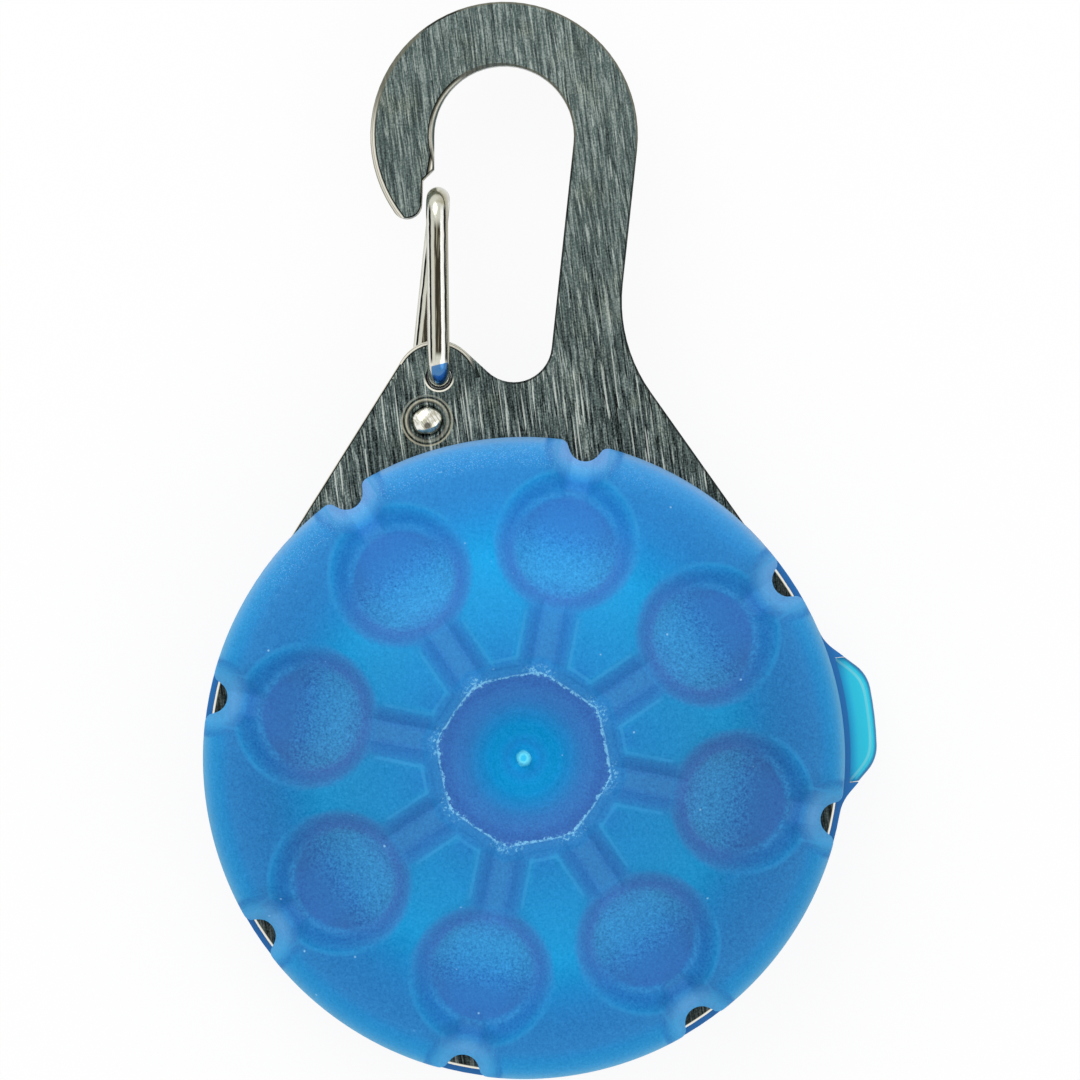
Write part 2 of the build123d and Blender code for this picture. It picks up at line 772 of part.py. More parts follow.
def cell_gasket(index):
    low = cell_level(index) + cell_sheet
    upright = ring(cell_radius - cell_sheet, cell_cap_radius + cell_sheet, low, low + cell_gasket_height)
    lip = ring(cell_cap_radius + 2 * cell_sheet, cell_cap_radius, low - cell_sheet, low + cell_gasket_height)
    return upright + lip


def cell_cap(index):
    low = cell_level(index)
    height = cell_height - cell_sheet
    return Pos(0, 0, low + height / 2) * Cylinder(cell_cap_radius, height)


def battery_cradle():
    cradle = ring(cradle_radius, cradle_radius - cradle_wall, rear_wall, board_level)
    slot_half = contact_width / 2 + cradle_fit
    reach = cradle_radius + overrun
    return cradle - block((-reach, -slot_half, rear_wall), (0, slot_half, board_level))


def leaf(stations, width):
    # A strip of spring metal that follows the stations (x, middle height)
    half = contact_sheet / 2
    upper = [(x, z + half) for x, z in stations]
    lower = [(x, z - half) for x, z in reversed(stations)]
    face = Plane.XZ * make_face(Polyline(*upper, *lower, close=True))
    return extrude(face, width / 2, both=True)


def contact_bow(level, crest):
    return [(-contact_knee, level), (-contact_crest, crest), (contact_crest, crest), (contact_knee, level)]


def negative_spring():
    low = rear_wall + contact_sheet / 2
    high = low + contact_rise
    post_x = cradle_radius - cradle_wall / 2
    strip = leaf([(-post_x, low), *contact_bow(low, high), (contact_reach, low)], contact_width)
    post = block((-post_x - contact_sheet, -contact_width / 2, rear_wall),
                 (-post_x, contact_width / 2, board_level))
    return strip + post


def positive_clip():
    high = board_level - contact_sheet / 2
    low = cell_level(cell_count) + contact_sheet / 2
    ends = [(-contact_reach, high), (contact_reach, high)]
    return leaf([ends[0], *contact_bow(high, low), ends[1]], contact_width)


# ---- circuit ----

def circuit_board():
    return Pos(0, 0, board_level + board_thickness / 2) * Cylinder(board_radius, board_thickness)


def led_base():
    top = board_top
    half = (led_length / 2, led_width / 2)
    return block((-half[0], -half[1], top), (half[0], half[1], top + led_base_height))


def led_dome():
    half = led_dome_radius
    ball = Sphere(led_dome_radius) & block((-half, -half, 0), (half, half, half))
    return Pos(0, 0, board_top + led_base_height) * ball


def chip(centre, size):
    return Pos(centre[0], centre[1], board_top + size[2] / 2) * Box(*size)


def chip_resistors():
    return Compound(children=[chip((x, resistor_row_y), resistor_size) for x in resistor_row_x])


def main():
    os.makedirs("parts", exist_ok=True)
    parts = {
        "lens_cover": lens_cover(),
        "front_gasket": front_gasket(),
        "carabiner_plate": carabiner_plate(),
        "rear_gasket": rear_gasket(),
        "rear_cover": rear_cover(),
        "gate_wire": gate_wire(),
        "gate_foot": gate_foot(),
        "side_button": side_button(),
        "button_seal": button_seal(),
        "switch_case": switch_case(),
        "switch_plunger": switch_plunger(),
        "rear_cell_can": cell_can(0),
        "rear_cell_cap": cell_cap(0),
        "rear_cell_gasket": cell_gasket(0),
        "front_cell_can": cell_can(1),
        "front_cell_cap": cell_cap(1),
        "front_cell_gasket": cell_gasket(1),
        "battery_cradle": battery_cradle(),
        "negative_spring": negative_spring(),
        "positive_clip": positive_clip(),
        "circuit_board": circuit_board(),
        "led_base": led_base(),
        "led_dome": led_dome(),
        "control_chip": chip(control_chip_at, control_chip_size),
        "chip_capacitor": chip(capacitor_at, capacitor_size),
        "chip_resistors": chip_resistors(),
    }
    for name, shape in parts.items():
        export_step(shape, f"parts/{name}.step")


main()
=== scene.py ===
import json
import math

import bpy
import numpy as np
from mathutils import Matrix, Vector


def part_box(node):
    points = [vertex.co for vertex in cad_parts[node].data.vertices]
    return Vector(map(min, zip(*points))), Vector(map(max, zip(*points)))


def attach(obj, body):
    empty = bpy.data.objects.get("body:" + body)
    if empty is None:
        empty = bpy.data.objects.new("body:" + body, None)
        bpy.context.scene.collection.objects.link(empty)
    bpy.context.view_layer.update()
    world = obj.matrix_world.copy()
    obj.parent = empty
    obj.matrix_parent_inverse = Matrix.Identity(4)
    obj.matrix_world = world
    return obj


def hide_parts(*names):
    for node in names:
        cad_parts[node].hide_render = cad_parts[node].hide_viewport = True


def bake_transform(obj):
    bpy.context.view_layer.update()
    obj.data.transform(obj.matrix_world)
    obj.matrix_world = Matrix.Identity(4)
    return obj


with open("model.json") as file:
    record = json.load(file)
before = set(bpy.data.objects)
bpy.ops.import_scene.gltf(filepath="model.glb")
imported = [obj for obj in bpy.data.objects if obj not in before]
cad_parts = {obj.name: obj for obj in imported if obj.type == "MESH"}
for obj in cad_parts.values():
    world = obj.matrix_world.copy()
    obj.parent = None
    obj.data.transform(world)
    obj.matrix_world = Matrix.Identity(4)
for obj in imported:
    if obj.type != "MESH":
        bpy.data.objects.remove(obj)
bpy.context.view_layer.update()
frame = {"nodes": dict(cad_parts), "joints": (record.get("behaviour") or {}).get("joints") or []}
nodes = frame["nodes"]
mm = 0.001               # everything below is in millimetres and is scaled where it meets Blender
print("frame loaded:", len(nodes), "nodes")


def boxOf(node):
    low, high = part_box(node)
    return [value / mm for value in low], [value / mm for value in high]


def jointOf(name):
    return next(joint for joint in frame["joints"] if joint["name"] == name)


lensLow, lensHigh = boxOf("lens_cover")
plateLow, plateHigh = boxOf("carabiner_plate")
wireLow, wireHigh = boxOf("gate_wire")
footLow, footHigh = boxOf("gate_foot")
pivot = [value / mm for value in jointOf("gate_pivot")["pos_m"]]
press = jointOf("button_press")["axis"]

wireGap = 0.25           # between the wire's two legs and the plate
wireRadius = (wireHigh[2] - plateHigh[2] - wireGap) / 2
headRadius = 0.77        # peened end of the wire, in its seat on the plate
foot = (footHigh[0] - headRadius, footLow[1] + headRadius)


# small tools

def tone(red, green, blue):
    # screen colour, 0 to 255, to the linear value that a socket wants
    def straight(part):
        part /= 255
        return part / 12.92 if part <= 0.04045 else ((part + 0.055) / 1.055) ** 2.4
    return (straight(red), straight(green), straight(blue), 1.0)


def soft(value, low, high):
    # smooth step for arrays, also for high < low
    share = np.clip((value - low) / (high - low), 0, 1)
    return share * share * (3 - 2 * share)


def graded(value, stops):
    # colour that changes along a value, from pairs of a value and a screen colour
    places = [place for place, colour in stops]
    return np.stack([np.interp(value, places, [tone(*colour)[band] for place, colour in stops])
                     for band in range(3)], axis=-1)


def softMin(first, second, rounding):
    # lower of two surfaces, with their crease rounded over
    gap = np.clip(0.5 + 0.5 * (second - first) / rounding, 0, 1)
    return second * (1 - gap) + first * gap - rounding * gap * (1 - gap)


def meshPiece(name, points, faces):
    mesh = bpy.data.meshes.new(name)
    mesh.from_pydata((np.asarray(points) * mm).tolist(), [], faces)
    mesh.update()
    mesh.polygons.foreach_set("use_smooth", [True] * len(mesh.polygons))
    piece = bpy.data.objects.new(name, mesh)
    bpy.context.scene.collection.objects.link(piece)
    return piece


def bandFaces(rows, columns, first=0):
    # quads between neighbouring rows of a grid whose columns run round
    starts = first + np.arange(rows - 1)[:, None] * columns
    low = starts + np.arange(columns)[None, :]
    after = starts + (np.arange(columns)[None, :] + 1) % columns
    return np.stack([low, after, after + columns, low + columns], axis=-1).reshape(-1, 4).tolist()


# shader writing

class Link:
    # wraps an output socket, so that shader maths reads as arithmetic
    def __init__(self, finish, socket):
        self.finish = finish
        self.socket = socket

    def op(self, operation, *others):
        return self.finish.maths(operation, self, *others)

    def __add__(self, other):
        return self.op("ADD", other)

    def __sub__(self, other):
        return self.op("SUBTRACT", other)

    def __mul__(self, other):
        return self.op("MULTIPLY", other)

    def __truediv__(self, other):
        return self.op("DIVIDE", other)

    def __pow__(self, other):
        return self.op("POWER", other)

    def __radd__(self, other):
        return self.finish.maths("ADD", other, self)

    def __rsub__(self, other):
        return self.finish.maths("SUBTRACT", other, self)

    def __rmul__(self, other):
        return self.finish.maths("MULTIPLY", other, self)

    def __neg__(self):
        return self.op("MULTIPLY", -1.0)

    def __abs__(self):
        return self.op("ABSOLUTE")

    def step(self, low, high):
        # smooth 0 to 1 as the value goes from low to high
        return self.finish.node("ShaderNodeMapRange", {"interpolation_type": "SMOOTHSTEP"},
                                {"Value": self, "From Min": low, "From Max": high})

    def line(self, middle, half, fade=0.5):
        # 1 on a line of the given half width round a value, faded at both sides
        return 1 - abs(self - middle).step(half * (1 - fade), half * (1 + fade))

    def clip(self):
        return self.finish.node("ShaderNodeClamp", {}, {"Value": self})


class Finish:
    # one node tree: a material of its own, or the tree that is handed in
    def __init__(self, name, tree=None):
        self.material = None
        if tree is None:
            self.material = bpy.data.materials.new(name)
            self.material.use_nodes = True
            tree = self.material.node_tree
        self.tree = tree
        self.tree.nodes.clear()

    def node(self, kind, settings=None, sockets=None, out=0):
        made = self.tree.nodes.new(kind)
        for key, value in (settings or {}).items():
            if key == "stops":
                ramp = made.color_ramp
                while len(ramp.elements) < len(value):
                    ramp.elements.new(0.5)
                for element, (at, colour) in zip(ramp.elements, value):
                    element.position = at
                    element.color = colour
            else:
                setattr(made, key, value)
        for key, value in (sockets or {}).items():
            if isinstance(value, Link):
                self.tree.links.new(value.socket, made.inputs[key])
            else:
                made.inputs[key].default_value = value
        return Link(self, made.outputs[out]) if len(made.outputs) else None

    def maths(self, operation, *values):
        return self.node("ShaderNodeMath", {"operation": operation}, dict(enumerate(values)))

    def mixed(self, share, first, second, blend="MIX"):
        return self.node("ShaderNodeMix", {"data_type": "RGBA", "blend_type": blend},
                         {0: share, 6: first, 7: second}, 2)

    def shaded(self, colour, level):
        # colour made lighter or darker by a level round 1
        return self.node("ShaderNodeVectorMath", {"operation": "SCALE"}, {0: colour, "Scale": level})

    def lifted(self, colour, tint, amount):
        # colour with some of a tint added, or taken off where the amount is below 0
        extra = self.node("ShaderNodeVectorMath", {"operation": "SCALE"}, {0: tint[:3], "Scale": amount})
        return self.node("ShaderNodeVectorMath", {"operation": "ADD"}, {0: colour, 1: extra})

    def ramp(self, value, *stops):
        return self.node("ShaderNodeValToRGB", {"stops": stops}, {"Fac": value})

    def split(self, vector):
        return [self.node("ShaderNodeSeparateXYZ", {}, {0: vector}, axis) for axis in range(3)]

    def place(self):
        # position in the object's own frame, in millimetres, and its three parts
        spot = self.node("ShaderNodeTexCoord", {}, {}, "Object")
        scaled = self.node("ShaderNodeVectorMath", {"operation": "SCALE"}, {0: spot, "Scale": 1 / mm})
        return scaled, self.split(scaled)

    def away(self, x, y, centre=(0.0, 0.0)):
        # distance from an axis along Z
        return ((x - centre[0]) ** 2.0 + (y - centre[1]) ** 2.0) ** 0.5

    def drawnOut(self, spot, lean, size):
        # space stretched to the given size, its long side turned away from Y by the lean
        return self.node("ShaderNodeMapping", {"vector_type": "TEXTURE"},
                         {"Vector": spot, "Rotation": (0, 0, math.radians(lean)), "Scale": size})

    def streak(self, spot, lean, size, detail=2.0, rough=0.5):
        return self.noise(self.drawnOut(spot, lean, size), 1.0, detail, rough)

    def needles(self, spot, lean, size):
        # thin slivers, each of its own random level
        cells = self.node("ShaderNodeTexVoronoi", {"feature": "F1"},
                          {"Vector": self.drawnOut(spot, lean, size), "Scale": 1.0}, "Color")
        return self.split(cells)[0]

    def noise(self, spot, scale, detail=2.0, rough=0.5):
        return self.node("ShaderNodeTexNoise", {"noise_dimensions": "3D"},
                         {"Vector": spot, "Scale": scale, "Detail": detail, "Roughness": rough})

    def specks(self, spot, spacing, size, share):
        # scattered dots; the share says how much of the surface has any
        cell = self.node("ShaderNodeTexVoronoi", {"feature": "F1"}, {"Vector": spot, "Scale": 1 / spacing},
                         "Distance")
        dot = 1 - cell.step(size * 0.4, size)
        return dot * self.noise(spot, 0.7 / spacing).step(1 - share, 1.05 - share)

    def bump(self, height, strength, distance):
        return self.node("ShaderNodeBump", {},
                         {"Height": height, "Strength": strength, "Distance": distance * mm})

    def shade(self, **sockets):
        # Base Color, Roughness and so on, written in one word
        names = {"BaseColor": "Base Color", "CoatWeight": "Coat Weight", "CoatRoughness": "Coat Roughness",
                 "SpecularIORLevel": "Specular IOR Level"}
        surface = self.node("ShaderNodeBsdfPrincipled", {},
                            {names.get(key, key): value for key, value in sockets.items()})
        self.node("ShaderNodeOutputMaterial", {}, {"Surface": surface})
        return self.material


# lens: a moulded dome with eight dimples, spokes, channels and a central well

lensShape = {
    "radius": (lensHigh[0] - lensLow[0]) / 2, "seat": plateHigh[2],
    "height": 5.8, "lip": 0.8, "shoulder": 2.2, "wall": 1.15, "sideWall": 2.2,
    "arms": 8, "armAngle": 33.9,
    "dimpleAt": 12.73, "dimpleOuter": 4.1, "dimpleBowl": 3.1, "ringShift": 0.35,
    "dimpleDeep": 0.9, "bowlDeep": 0.5,
    "spokeHalf": 0.62, "spokeDeep": 0.85, "spokeFlare": 0.82, "spokeEndSlope": 3,
    "channelHalf": 0.55, "channelFrom": 15.53, "channelDeep": 0.95, "channelFall": 0.75,
    "channelFlare": 1.1, "channelBack": 0.4, "channelEndSlope": 4,
    "hubFlats": 4.9, "hubBevel": 0.95, "hubRound": 0.25,
    "wellDeep": 2.1, "wellFloorRadius": 0.9, "wellReach": 0.6, "markRadius": 0.36, "markHigh": 0.12,
    "biteDeep": 1.1, "biteRadius": 1.0, "biteCorner": 0.55,
    "rounding": 0.4, "channelRounding": 0.9, "wellRounding": 0.12,
    # the mesh: inside roundWithin its rings are round, outside they follow the bites
    "roundWithin": 15.4, "seatBreak": 0.08, "seatInset": 0.4, "innerStep": 0.3, "lowest": 0.25,
    "stepsPerHalfArm": 32, "evenShare": 0.4, "shoulderRings": 26,
    # where each stretch of rings starts and how many it has, then both stretches of the hidden side
    "ringStarts": [(0.06, 10), (1.0, 20), (4.35, 20), (5.6, 22), (8.6, 64)],
    "underOuter": (9.0, 14), "underInner": (8.4, 0.3, 12), "shellShift": 2.0,
}
s = lensShape
s["top"] = s["seat"] + s["height"]
s["wellFloor"] = s["seat"] + s["wellDeep"]
s["biteFloor"] = s["radius"] - s["biteDeep"]
s["innerRadius"] = s["radius"] - s["sideWall"]
s["sector"] = 2 * math.pi / s["arms"]


def crownLevel(distance):
    gap = s["radius"] - s["shoulder"]
    rise = s["top"] - s["seat"] - s["lip"]
    large = (gap ** 2 + rise ** 2 - s["shoulder"] ** 2) / (2 * (rise - s["shoulder"]))
    join = gap * large / (large - s["shoulder"])
    over = s["top"] - large + np.sqrt(np.maximum(large ** 2 - distance ** 2, 0))
    side = np.sqrt(np.maximum(s["shoulder"] ** 2 - (distance - gap) ** 2, 0)) + s["seat"] + s["lip"]
    return np.where(distance < join, over, side)


def foldAngle(angle):
    # angle from the nearest arm
    return (angle - math.radians(s["armAngle"]) + s["sector"] / 2) % s["sector"] - s["sector"] / 2


def rimDistance(turn):
    # outline of the lens: a circle with a rounded bite at each arm
    biteAt = s["biteFloor"] + s["biteRadius"]
    cornerAt = s["radius"] - s["biteCorner"]
    reach = s["biteRadius"] + s["biteCorner"]
    cornerAlong = (cornerAt ** 2 - reach ** 2 + biteAt ** 2) / (2 * biteAt)
    cornerTurn = math.acos(cornerAlong / cornerAt)
    touch = biteAt + (cornerAlong - biteAt) * s["biteRadius"] / reach
    touchTurn = math.atan2(cornerAt * math.sin(cornerTurn) * s["biteRadius"] / reach, touch)
    turn = np.abs(turn)
    off = turn - cornerTurn
    biteHalf = np.sqrt(np.maximum(s["biteRadius"] ** 2 - (biteAt * np.sin(turn)) ** 2, 0))
    cornerHalf = np.sqrt(np.maximum(s["biteCorner"] ** 2 - (cornerAt * np.sin(off)) ** 2, 0))
    bite = biteAt * np.cos(turn) - biteHalf
    corner = cornerAt * np.cos(off) + cornerHalf
    return np.where(turn < touchTurn, bite, np.where(turn < cornerTurn, corner, s["radius"]))


def lensFacts(x, y):
    # distances that both the shape and the colours are worked out from
    reach = np.hypot(x, y)
    turn = foldAngle(np.arctan2(y, x))
    along = reach * np.cos(turn)
    across = np.abs(reach * np.sin(turn))
    between = foldAngle(np.arctan2(y, x) + s["sector"] / 2)
    bite = np.hypot(along - s["biteFloor"] - s["biteRadius"], across) - s["biteRadius"]
    hub = reach * np.cos(between) * (1 - s["hubRound"]) + reach * s["hubRound"]
    return {"reach": reach, "along": along, "across": across, "hub": hub, "bite": bite,
            "dimple": np.hypot(along - s["dimpleAt"], across),
            "ring": np.hypot(along - s["dimpleAt"] - s["ringShift"], across)}


def lensLevel(x, y):
    f = lensFacts(x, y)
    crown = crownLevel(f["reach"])
    flare = (s["dimpleOuter"] - s["dimpleBowl"]) / s["dimpleDeep"]
    side = crown + (f["dimple"] - s["dimpleOuter"]) / flare
    bowl = crown - s["dimpleDeep"] - s["bowlDeep"] * (1 - np.minimum(f["dimple"] / s["dimpleBowl"], 1) ** 2)
    dimple = -softMin(-side, -bowl, s["rounding"])
    spoke = crown - s["spokeDeep"]
    spoke = spoke + np.maximum(f["across"] - s["spokeHalf"], 0) * s["spokeDeep"] / s["spokeFlare"]
    spoke = spoke + np.maximum(f["along"] - s["dimpleAt"] + s["dimpleBowl"], 0) * s["spokeEndSlope"]
    funnel = crown - s["spokeDeep"] + (f["hub"] - s["hubFlats"]) * s["spokeDeep"] / s["hubBevel"]
    floorLevel = crownLevel(np.array(s["channelFrom"])) - s["channelDeep"]
    channel = floorLevel - (f["along"] - s["channelFrom"]) * s["channelFall"]
    channel = channel + np.maximum(f["across"] - s["channelHalf"], 0) * s["channelFlare"]
    behind = s["channelFrom"] - s["channelBack"] - f["along"]
    channel = channel + np.maximum(behind, 0) * s["channelEndSlope"]
    level = softMin(crown, channel, s["channelRounding"])
    for cut in (dimple, spoke, funnel):
        level = softMin(level, cut, s["rounding"])
    mouth = crownLevel(np.array(s["hubFlats"])) - s["spokeDeep"]
    slope = (mouth - s["wellFloor"]) / (s["hubFlats"] - s["wellFloorRadius"])
    well = s["wellFloor"] + np.maximum(f["reach"] - s["wellFloorRadius"], 0) * slope
    wellOnly = np.where(f["hub"] < s["hubFlats"] + s["wellReach"], well, s["top"] * 9)
    level = softMin(level, wellOnly, s["wellRounding"])
    mark = s["wellFloor"] + s["markHigh"] * np.sqrt(np.maximum(1 - (f["reach"] / s["markRadius"]) ** 2, 0))
    return np.where(f["reach"] < s["markRadius"], np.maximum(level, mark), level)


lensPaint = {
    # from the middle outwards; the last petal stops lighten the rim as a painted sheen, and the well is
    # painted darkest at its outer wall as shade and lighter in its middle to make up for its rendered shade
    "petals": [(6.0, (33, 126, 195)), (7.0, (31, 133, 198)), (8.0, (30, 138, 202)),
               (10.0, (29, 143, 204)), (12.0, (22, 148, 210)), (13.0, (18, 138, 200)),
               (14.0, (25, 130, 196)), (15.0, (34, 124, 191)), (16.0, (38, 122, 189)),
               (17.2, (43, 127, 193)), (17.8, (44, 135, 201)), (18.3, (52, 145, 208)),
               (18.6, (69, 154, 215)), (18.9, (104, 168, 216))],
    "well": [(0.5, (24, 172, 226)), (1.0, (32, 151, 214)), (1.6, (12, 156, 212)), (2.0, (12, 153, 211)),
             (2.5, (28, 144, 206)), (3.0, (44, 137, 201)), (3.5, (55, 127, 195)), (4.1, (60, 124, 193)),
             (4.4, (58, 116, 188)), (4.7, (56, 111, 183))],
    "hub": [(4.9, (52, 124, 192)), (5.1, (50, 132, 197)), (5.5, (45, 129, 196)), (5.8, (39, 128, 195))],
    # along an arm, and from its middle line to its side; the bowls are painted lighter on their hub side as
    # a painted highlight, and the spokes darker on their sloping sides as painted shade, with a painted
    # highlight at their edge
    "bowl": [(9.6, (58, 129, 196)), (10.3, (56, 137, 200)), (10.9, (54, 144, 205)),
             (11.5, (52, 141, 203)), (12.3, (49, 136, 200)), (13.1, (47, 124, 193)),
             (13.9, (47, 117, 187)), (15.2, (48, 112, 184))],
    "spoke": [(0.3, (53, 130, 193)), (0.6, (51, 125, 193)), (0.85, (50, 124, 192)), (1.15, (47, 128, 196)),
              (1.35, (42, 130, 195)), (1.5, (35, 136, 199)), (1.7, (32, 138, 200))],
    # outwards from the middle of a dimple, and from the edge of a bite; the ring is painted dark as shade
    # on the dimple's sloping wall, and the halo round a bite is a painted sheen
    "ring": [(2.9, (52, 124, 192)), (3.45, (45, 116, 187)), (3.8, (42, 121, 189)), (4.05, (40, 129, 195)),
             (4.2, (38, 134, 199))],
    "halo": [(0.2, (99, 162, 217)), (0.5, (92, 165, 221)), (0.8, (77, 155, 213)), (1.0, (60, 141, 204)),
             (1.3, (48, 126, 194))],
    # one colour for the painted highlight on the crest of a bowl, then how strongly the broad colour
    # changes and the painted light and shade work
    "crest": (45, 128, 195), "violet": 0.65, "pureBlue": 0.5, "channelLift": 0.13, "bowlShade": 0.09,
    "upright": 0.17, "height": 0.12, "sideways": 0.03, "rimCalm": (0.5, 0.42),
    "rimRed": (0.9, 0.4), "rimDrift": 0.02,
}


def lensColours(x, y):
    # broad colours of the moulding, with painted light and shade in them; the fourth value says how sandy
    # the surface is
    f = lensFacts(x, y)
    p = lensPaint
    dimpleAt, inner, flats = s["dimpleAt"], s["dimpleBowl"], s["hubFlats"]

    def lay(base, colour, mask):
        return base + (colour - base) * mask[:, None]

    base = graded(f["reach"], p["petals"])
    inArm = soft(f["along"], dimpleAt, dimpleAt - 0.4)
    base = lay(base, graded(f["across"], p["spoke"]), soft(f["across"], 2.0, 1.65) * inArm)
    inPetal = soft(f["across"], 1.2, 1.5)
    nearHub = soft(f["hub"], flats + 1.05, flats + 0.75 + 0.1 * inPetal)
    base = lay(base, graded(f["hub"], p["hub"]), nearHub)
    inRing = soft(f["ring"], 4.4, 4.1)
    base = lay(base, graded(f["ring"], p["ring"]), inRing)
    # the dark ring turns from violet near the hub to a purer blue at its far side
    outer = soft(f["along"], 10.5, 15.8)
    purer = outer * soft(f["across"], 0.4, 1.0)
    base[:, 0] *= 1 + inRing * (p["violet"] * (1 - outer) - p["pureBlue"] * purer)
    nearBite = soft(f["bite"], 1.5, 1.2) * soft(f["along"], 16.3, 16.7)
    base = lay(base, graded(f["bite"], p["halo"]), nearBite)
    bowl = soft(f["dimple"], inner + 0.2, inner - 0.4)
    base = lay(base, graded(f["along"], p["bowl"]), bowl)
    channel = soft(f["across"], 0.95, 0.45) * soft(f["along"], 15.8, 16.3) * soft(f["along"], 17.2, 16.8)
    bowlSide = bowl * soft(f["across"], 1.2, 2.4)
    base[:, 1:] *= (1 + p["channelLift"] * channel - p["bowlShade"] * bowlSide)[:, None]
    # painted highlight on the crest at the far side of each bowl
    crest = soft(np.abs(f["dimple"] - inner), 0.3, 0.05) * soft(f["along"], 13.6, 15.0)
    crest = crest * (0.35 + 0.65 * soft(f["across"], 0.4, 1.4))
    base = lay(base, np.array(tone(*p["crest"])[:3]), crest)
    base = lay(base, graded(f["reach"], p["well"]), soft(f["hub"], flats + 0.02, flats - 0.12))

    # painted light: brighter towards the top and the bottom than at the sides, also brighter towards the
    # top and darker to the right, less so out at the rim; a painted highlight along the top of the rim band
    rim = soft(f["reach"], 14.0, 17.0)
    height = y / s["radius"]
    share = soft(f["reach"], 4.0, 13.0) * (y ** 2 - x ** 2) / np.maximum(f["reach"], 1) ** 2
    calm, heightCalm = p["rimCalm"]
    paintedLight = 1 + p["upright"] * share * (1 - calm * rim) + p["height"] * height * (1 - heightCalm * rim)
    paintedLight = paintedLight - p["sideways"] * x / s["radius"]
    lit = soft(height, 0.2, 1.0)
    rimBand = soft(f["reach"], 17.3, 18.1)
    paintedRimHighlight = 1 + rimBand * (p["rimRed"][0] * lit - p["rimRed"][1])
    paintedLight = paintedLight + p["rimDrift"] * rimBand * (1 - lit)
    base = base * np.column_stack([paintedRimHighlight, paintedLight, paintedLight])
    sandy = 0.5 + bowl * (0.5 - 0.65 * soft(f["along"], 13.0, 14.2))
    return np.column_stack([np.clip(base, 0, 1), sandy])


def lensGrid():
    # rings and spokes of the mesh, closer together where the pattern is fine
    half, even = s["stepsPerHalfArm"], s["evenShare"]
    part = np.arange(-half, half) / half
    turns = s["sector"] / 2 * (even * part + (1 - even) * part ** 3)
    angles = np.concatenate([turns + s["sector"] * arm for arm in range(s["arms"])])
    angles = angles + math.radians(s["armAngle"])
    gap = s["radius"] - s["shoulder"]
    starts = s["ringStarts"]
    ends = [low for low, count in starts[1:]] + [gap]
    rings = np.concatenate([np.linspace(low, high, count, endpoint=False)
                            for (low, count), high in zip(starts, ends)])
    lean = np.linspace(0, math.pi / 2, s["shoulderRings"])
    return np.concatenate([rings, gap + s["shoulder"] * np.sin(lean)]), angles


def lensMesh():
    rings, angles = lensGrid()
    columns = len(angles)
    rim = rimDistance(foldAngle(angles))
    keep = s["roundWithin"]
    reach = rings[:, None] + 0 * angles[None, :]
    pulled = keep + (reach - keep) * (rim[None, :] - keep) / (s["radius"] - keep)
    reach = np.where(reach < keep, reach, pulled)
    x = reach * np.cos(angles)[None, :]
    y = reach * np.sin(angles)[None, :]
    z = np.maximum(lensLevel(x.ravel(), y.ravel()).reshape(x.shape), s["seat"] + s["lowest"])
    layers = [(x, y, z)]

    def ring(radius, level):
        layers.append((radius * np.cos(angles)[None, :], radius * np.sin(angles)[None, :],
                       level + 0 * angles[None, :]))

    ring(rim, s["seat"] + s["seatBreak"])
    ring(rim - s["seatBreak"], s["seat"])
    ring(np.minimum(rim - s["seatInset"], s["innerRadius"] + s["innerStep"]), s["seat"])
    ring(s["innerRadius"] + 0 * rim, s["seat"])
    inner = np.concatenate([np.linspace(s["innerRadius"], *s["underOuter"]), np.linspace(*s["underInner"])])
    innerX = inner[:, None] * np.cos(angles)[None, :]
    innerY = inner[:, None] * np.sin(angles)[None, :]
    under = lensLevel(innerX.ravel(), innerY.ravel()).reshape(innerX.shape) - s["wall"]
    shell = crownLevel(inner + s["shellShift"])[:, None] - s["wall"] + 0 * angles[None, :]
    under = np.maximum(np.minimum(under, shell), s["seat"])
    layers.append((innerX, innerY, under))
    points = np.concatenate([np.stack(layer, axis=-1).reshape(-1, 3) for layer in layers])
    rows = len(points) // columns
    faces = bandFaces(rows, columns)
    centre = len(points)
    points = np.concatenate([points, [[0, 0, s["wellFloor"] + s["markHigh"]], [0, 0, under[-1].min()]]])
    last = (rows - 1) * columns
    for column in range(columns):
        after = (column + 1) % columns
        faces.append((centre, after, column))
        faces.append((centre + 1, last + column, last + after))
    return points, [tuple(reversed(face)) for face in faces]


points, faces = lensMesh()
lens = meshPiece("lens", points, faces)
skin = lens.data.attributes.new("skin", "FLOAT_COLOR", "POINT")
skin.data.foreach_set("color", lensColours(points[:, 0], points[:, 1]).ravel())
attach(lens, "root")
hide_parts("lens_cover")
print("lens made:", len(points), "points")

frosted = {"rough": 0.5, "bumpy": 0.3, "grain": 1.75, "speckAndGlint": tone(150, 208, 245),
           "line": tone(128, 200, 240), "mark": tone(60, 206, 248), "markRing": tone(118, 238, 255),
           "petalHighlight": tone(60, 156, 216), "tint": (0.02, 0.11, 0.18),
           # rings in the well per millimetre and their strength, then the gate mark's edge and ring
           "wellRings": 9.0, "wellRingShade": 0.02, "markEdge": (0.4, 0.52), "markRingAt": (0.3, 0.13),
           # spacing, size and share of the specks, and where the painted glint on the upper rim goes
           "specks": (1.3, 0.075, 0.46), "sparkleAt": (18.0, 0.7), "sparkleFrom": (11.0, 17.0)}


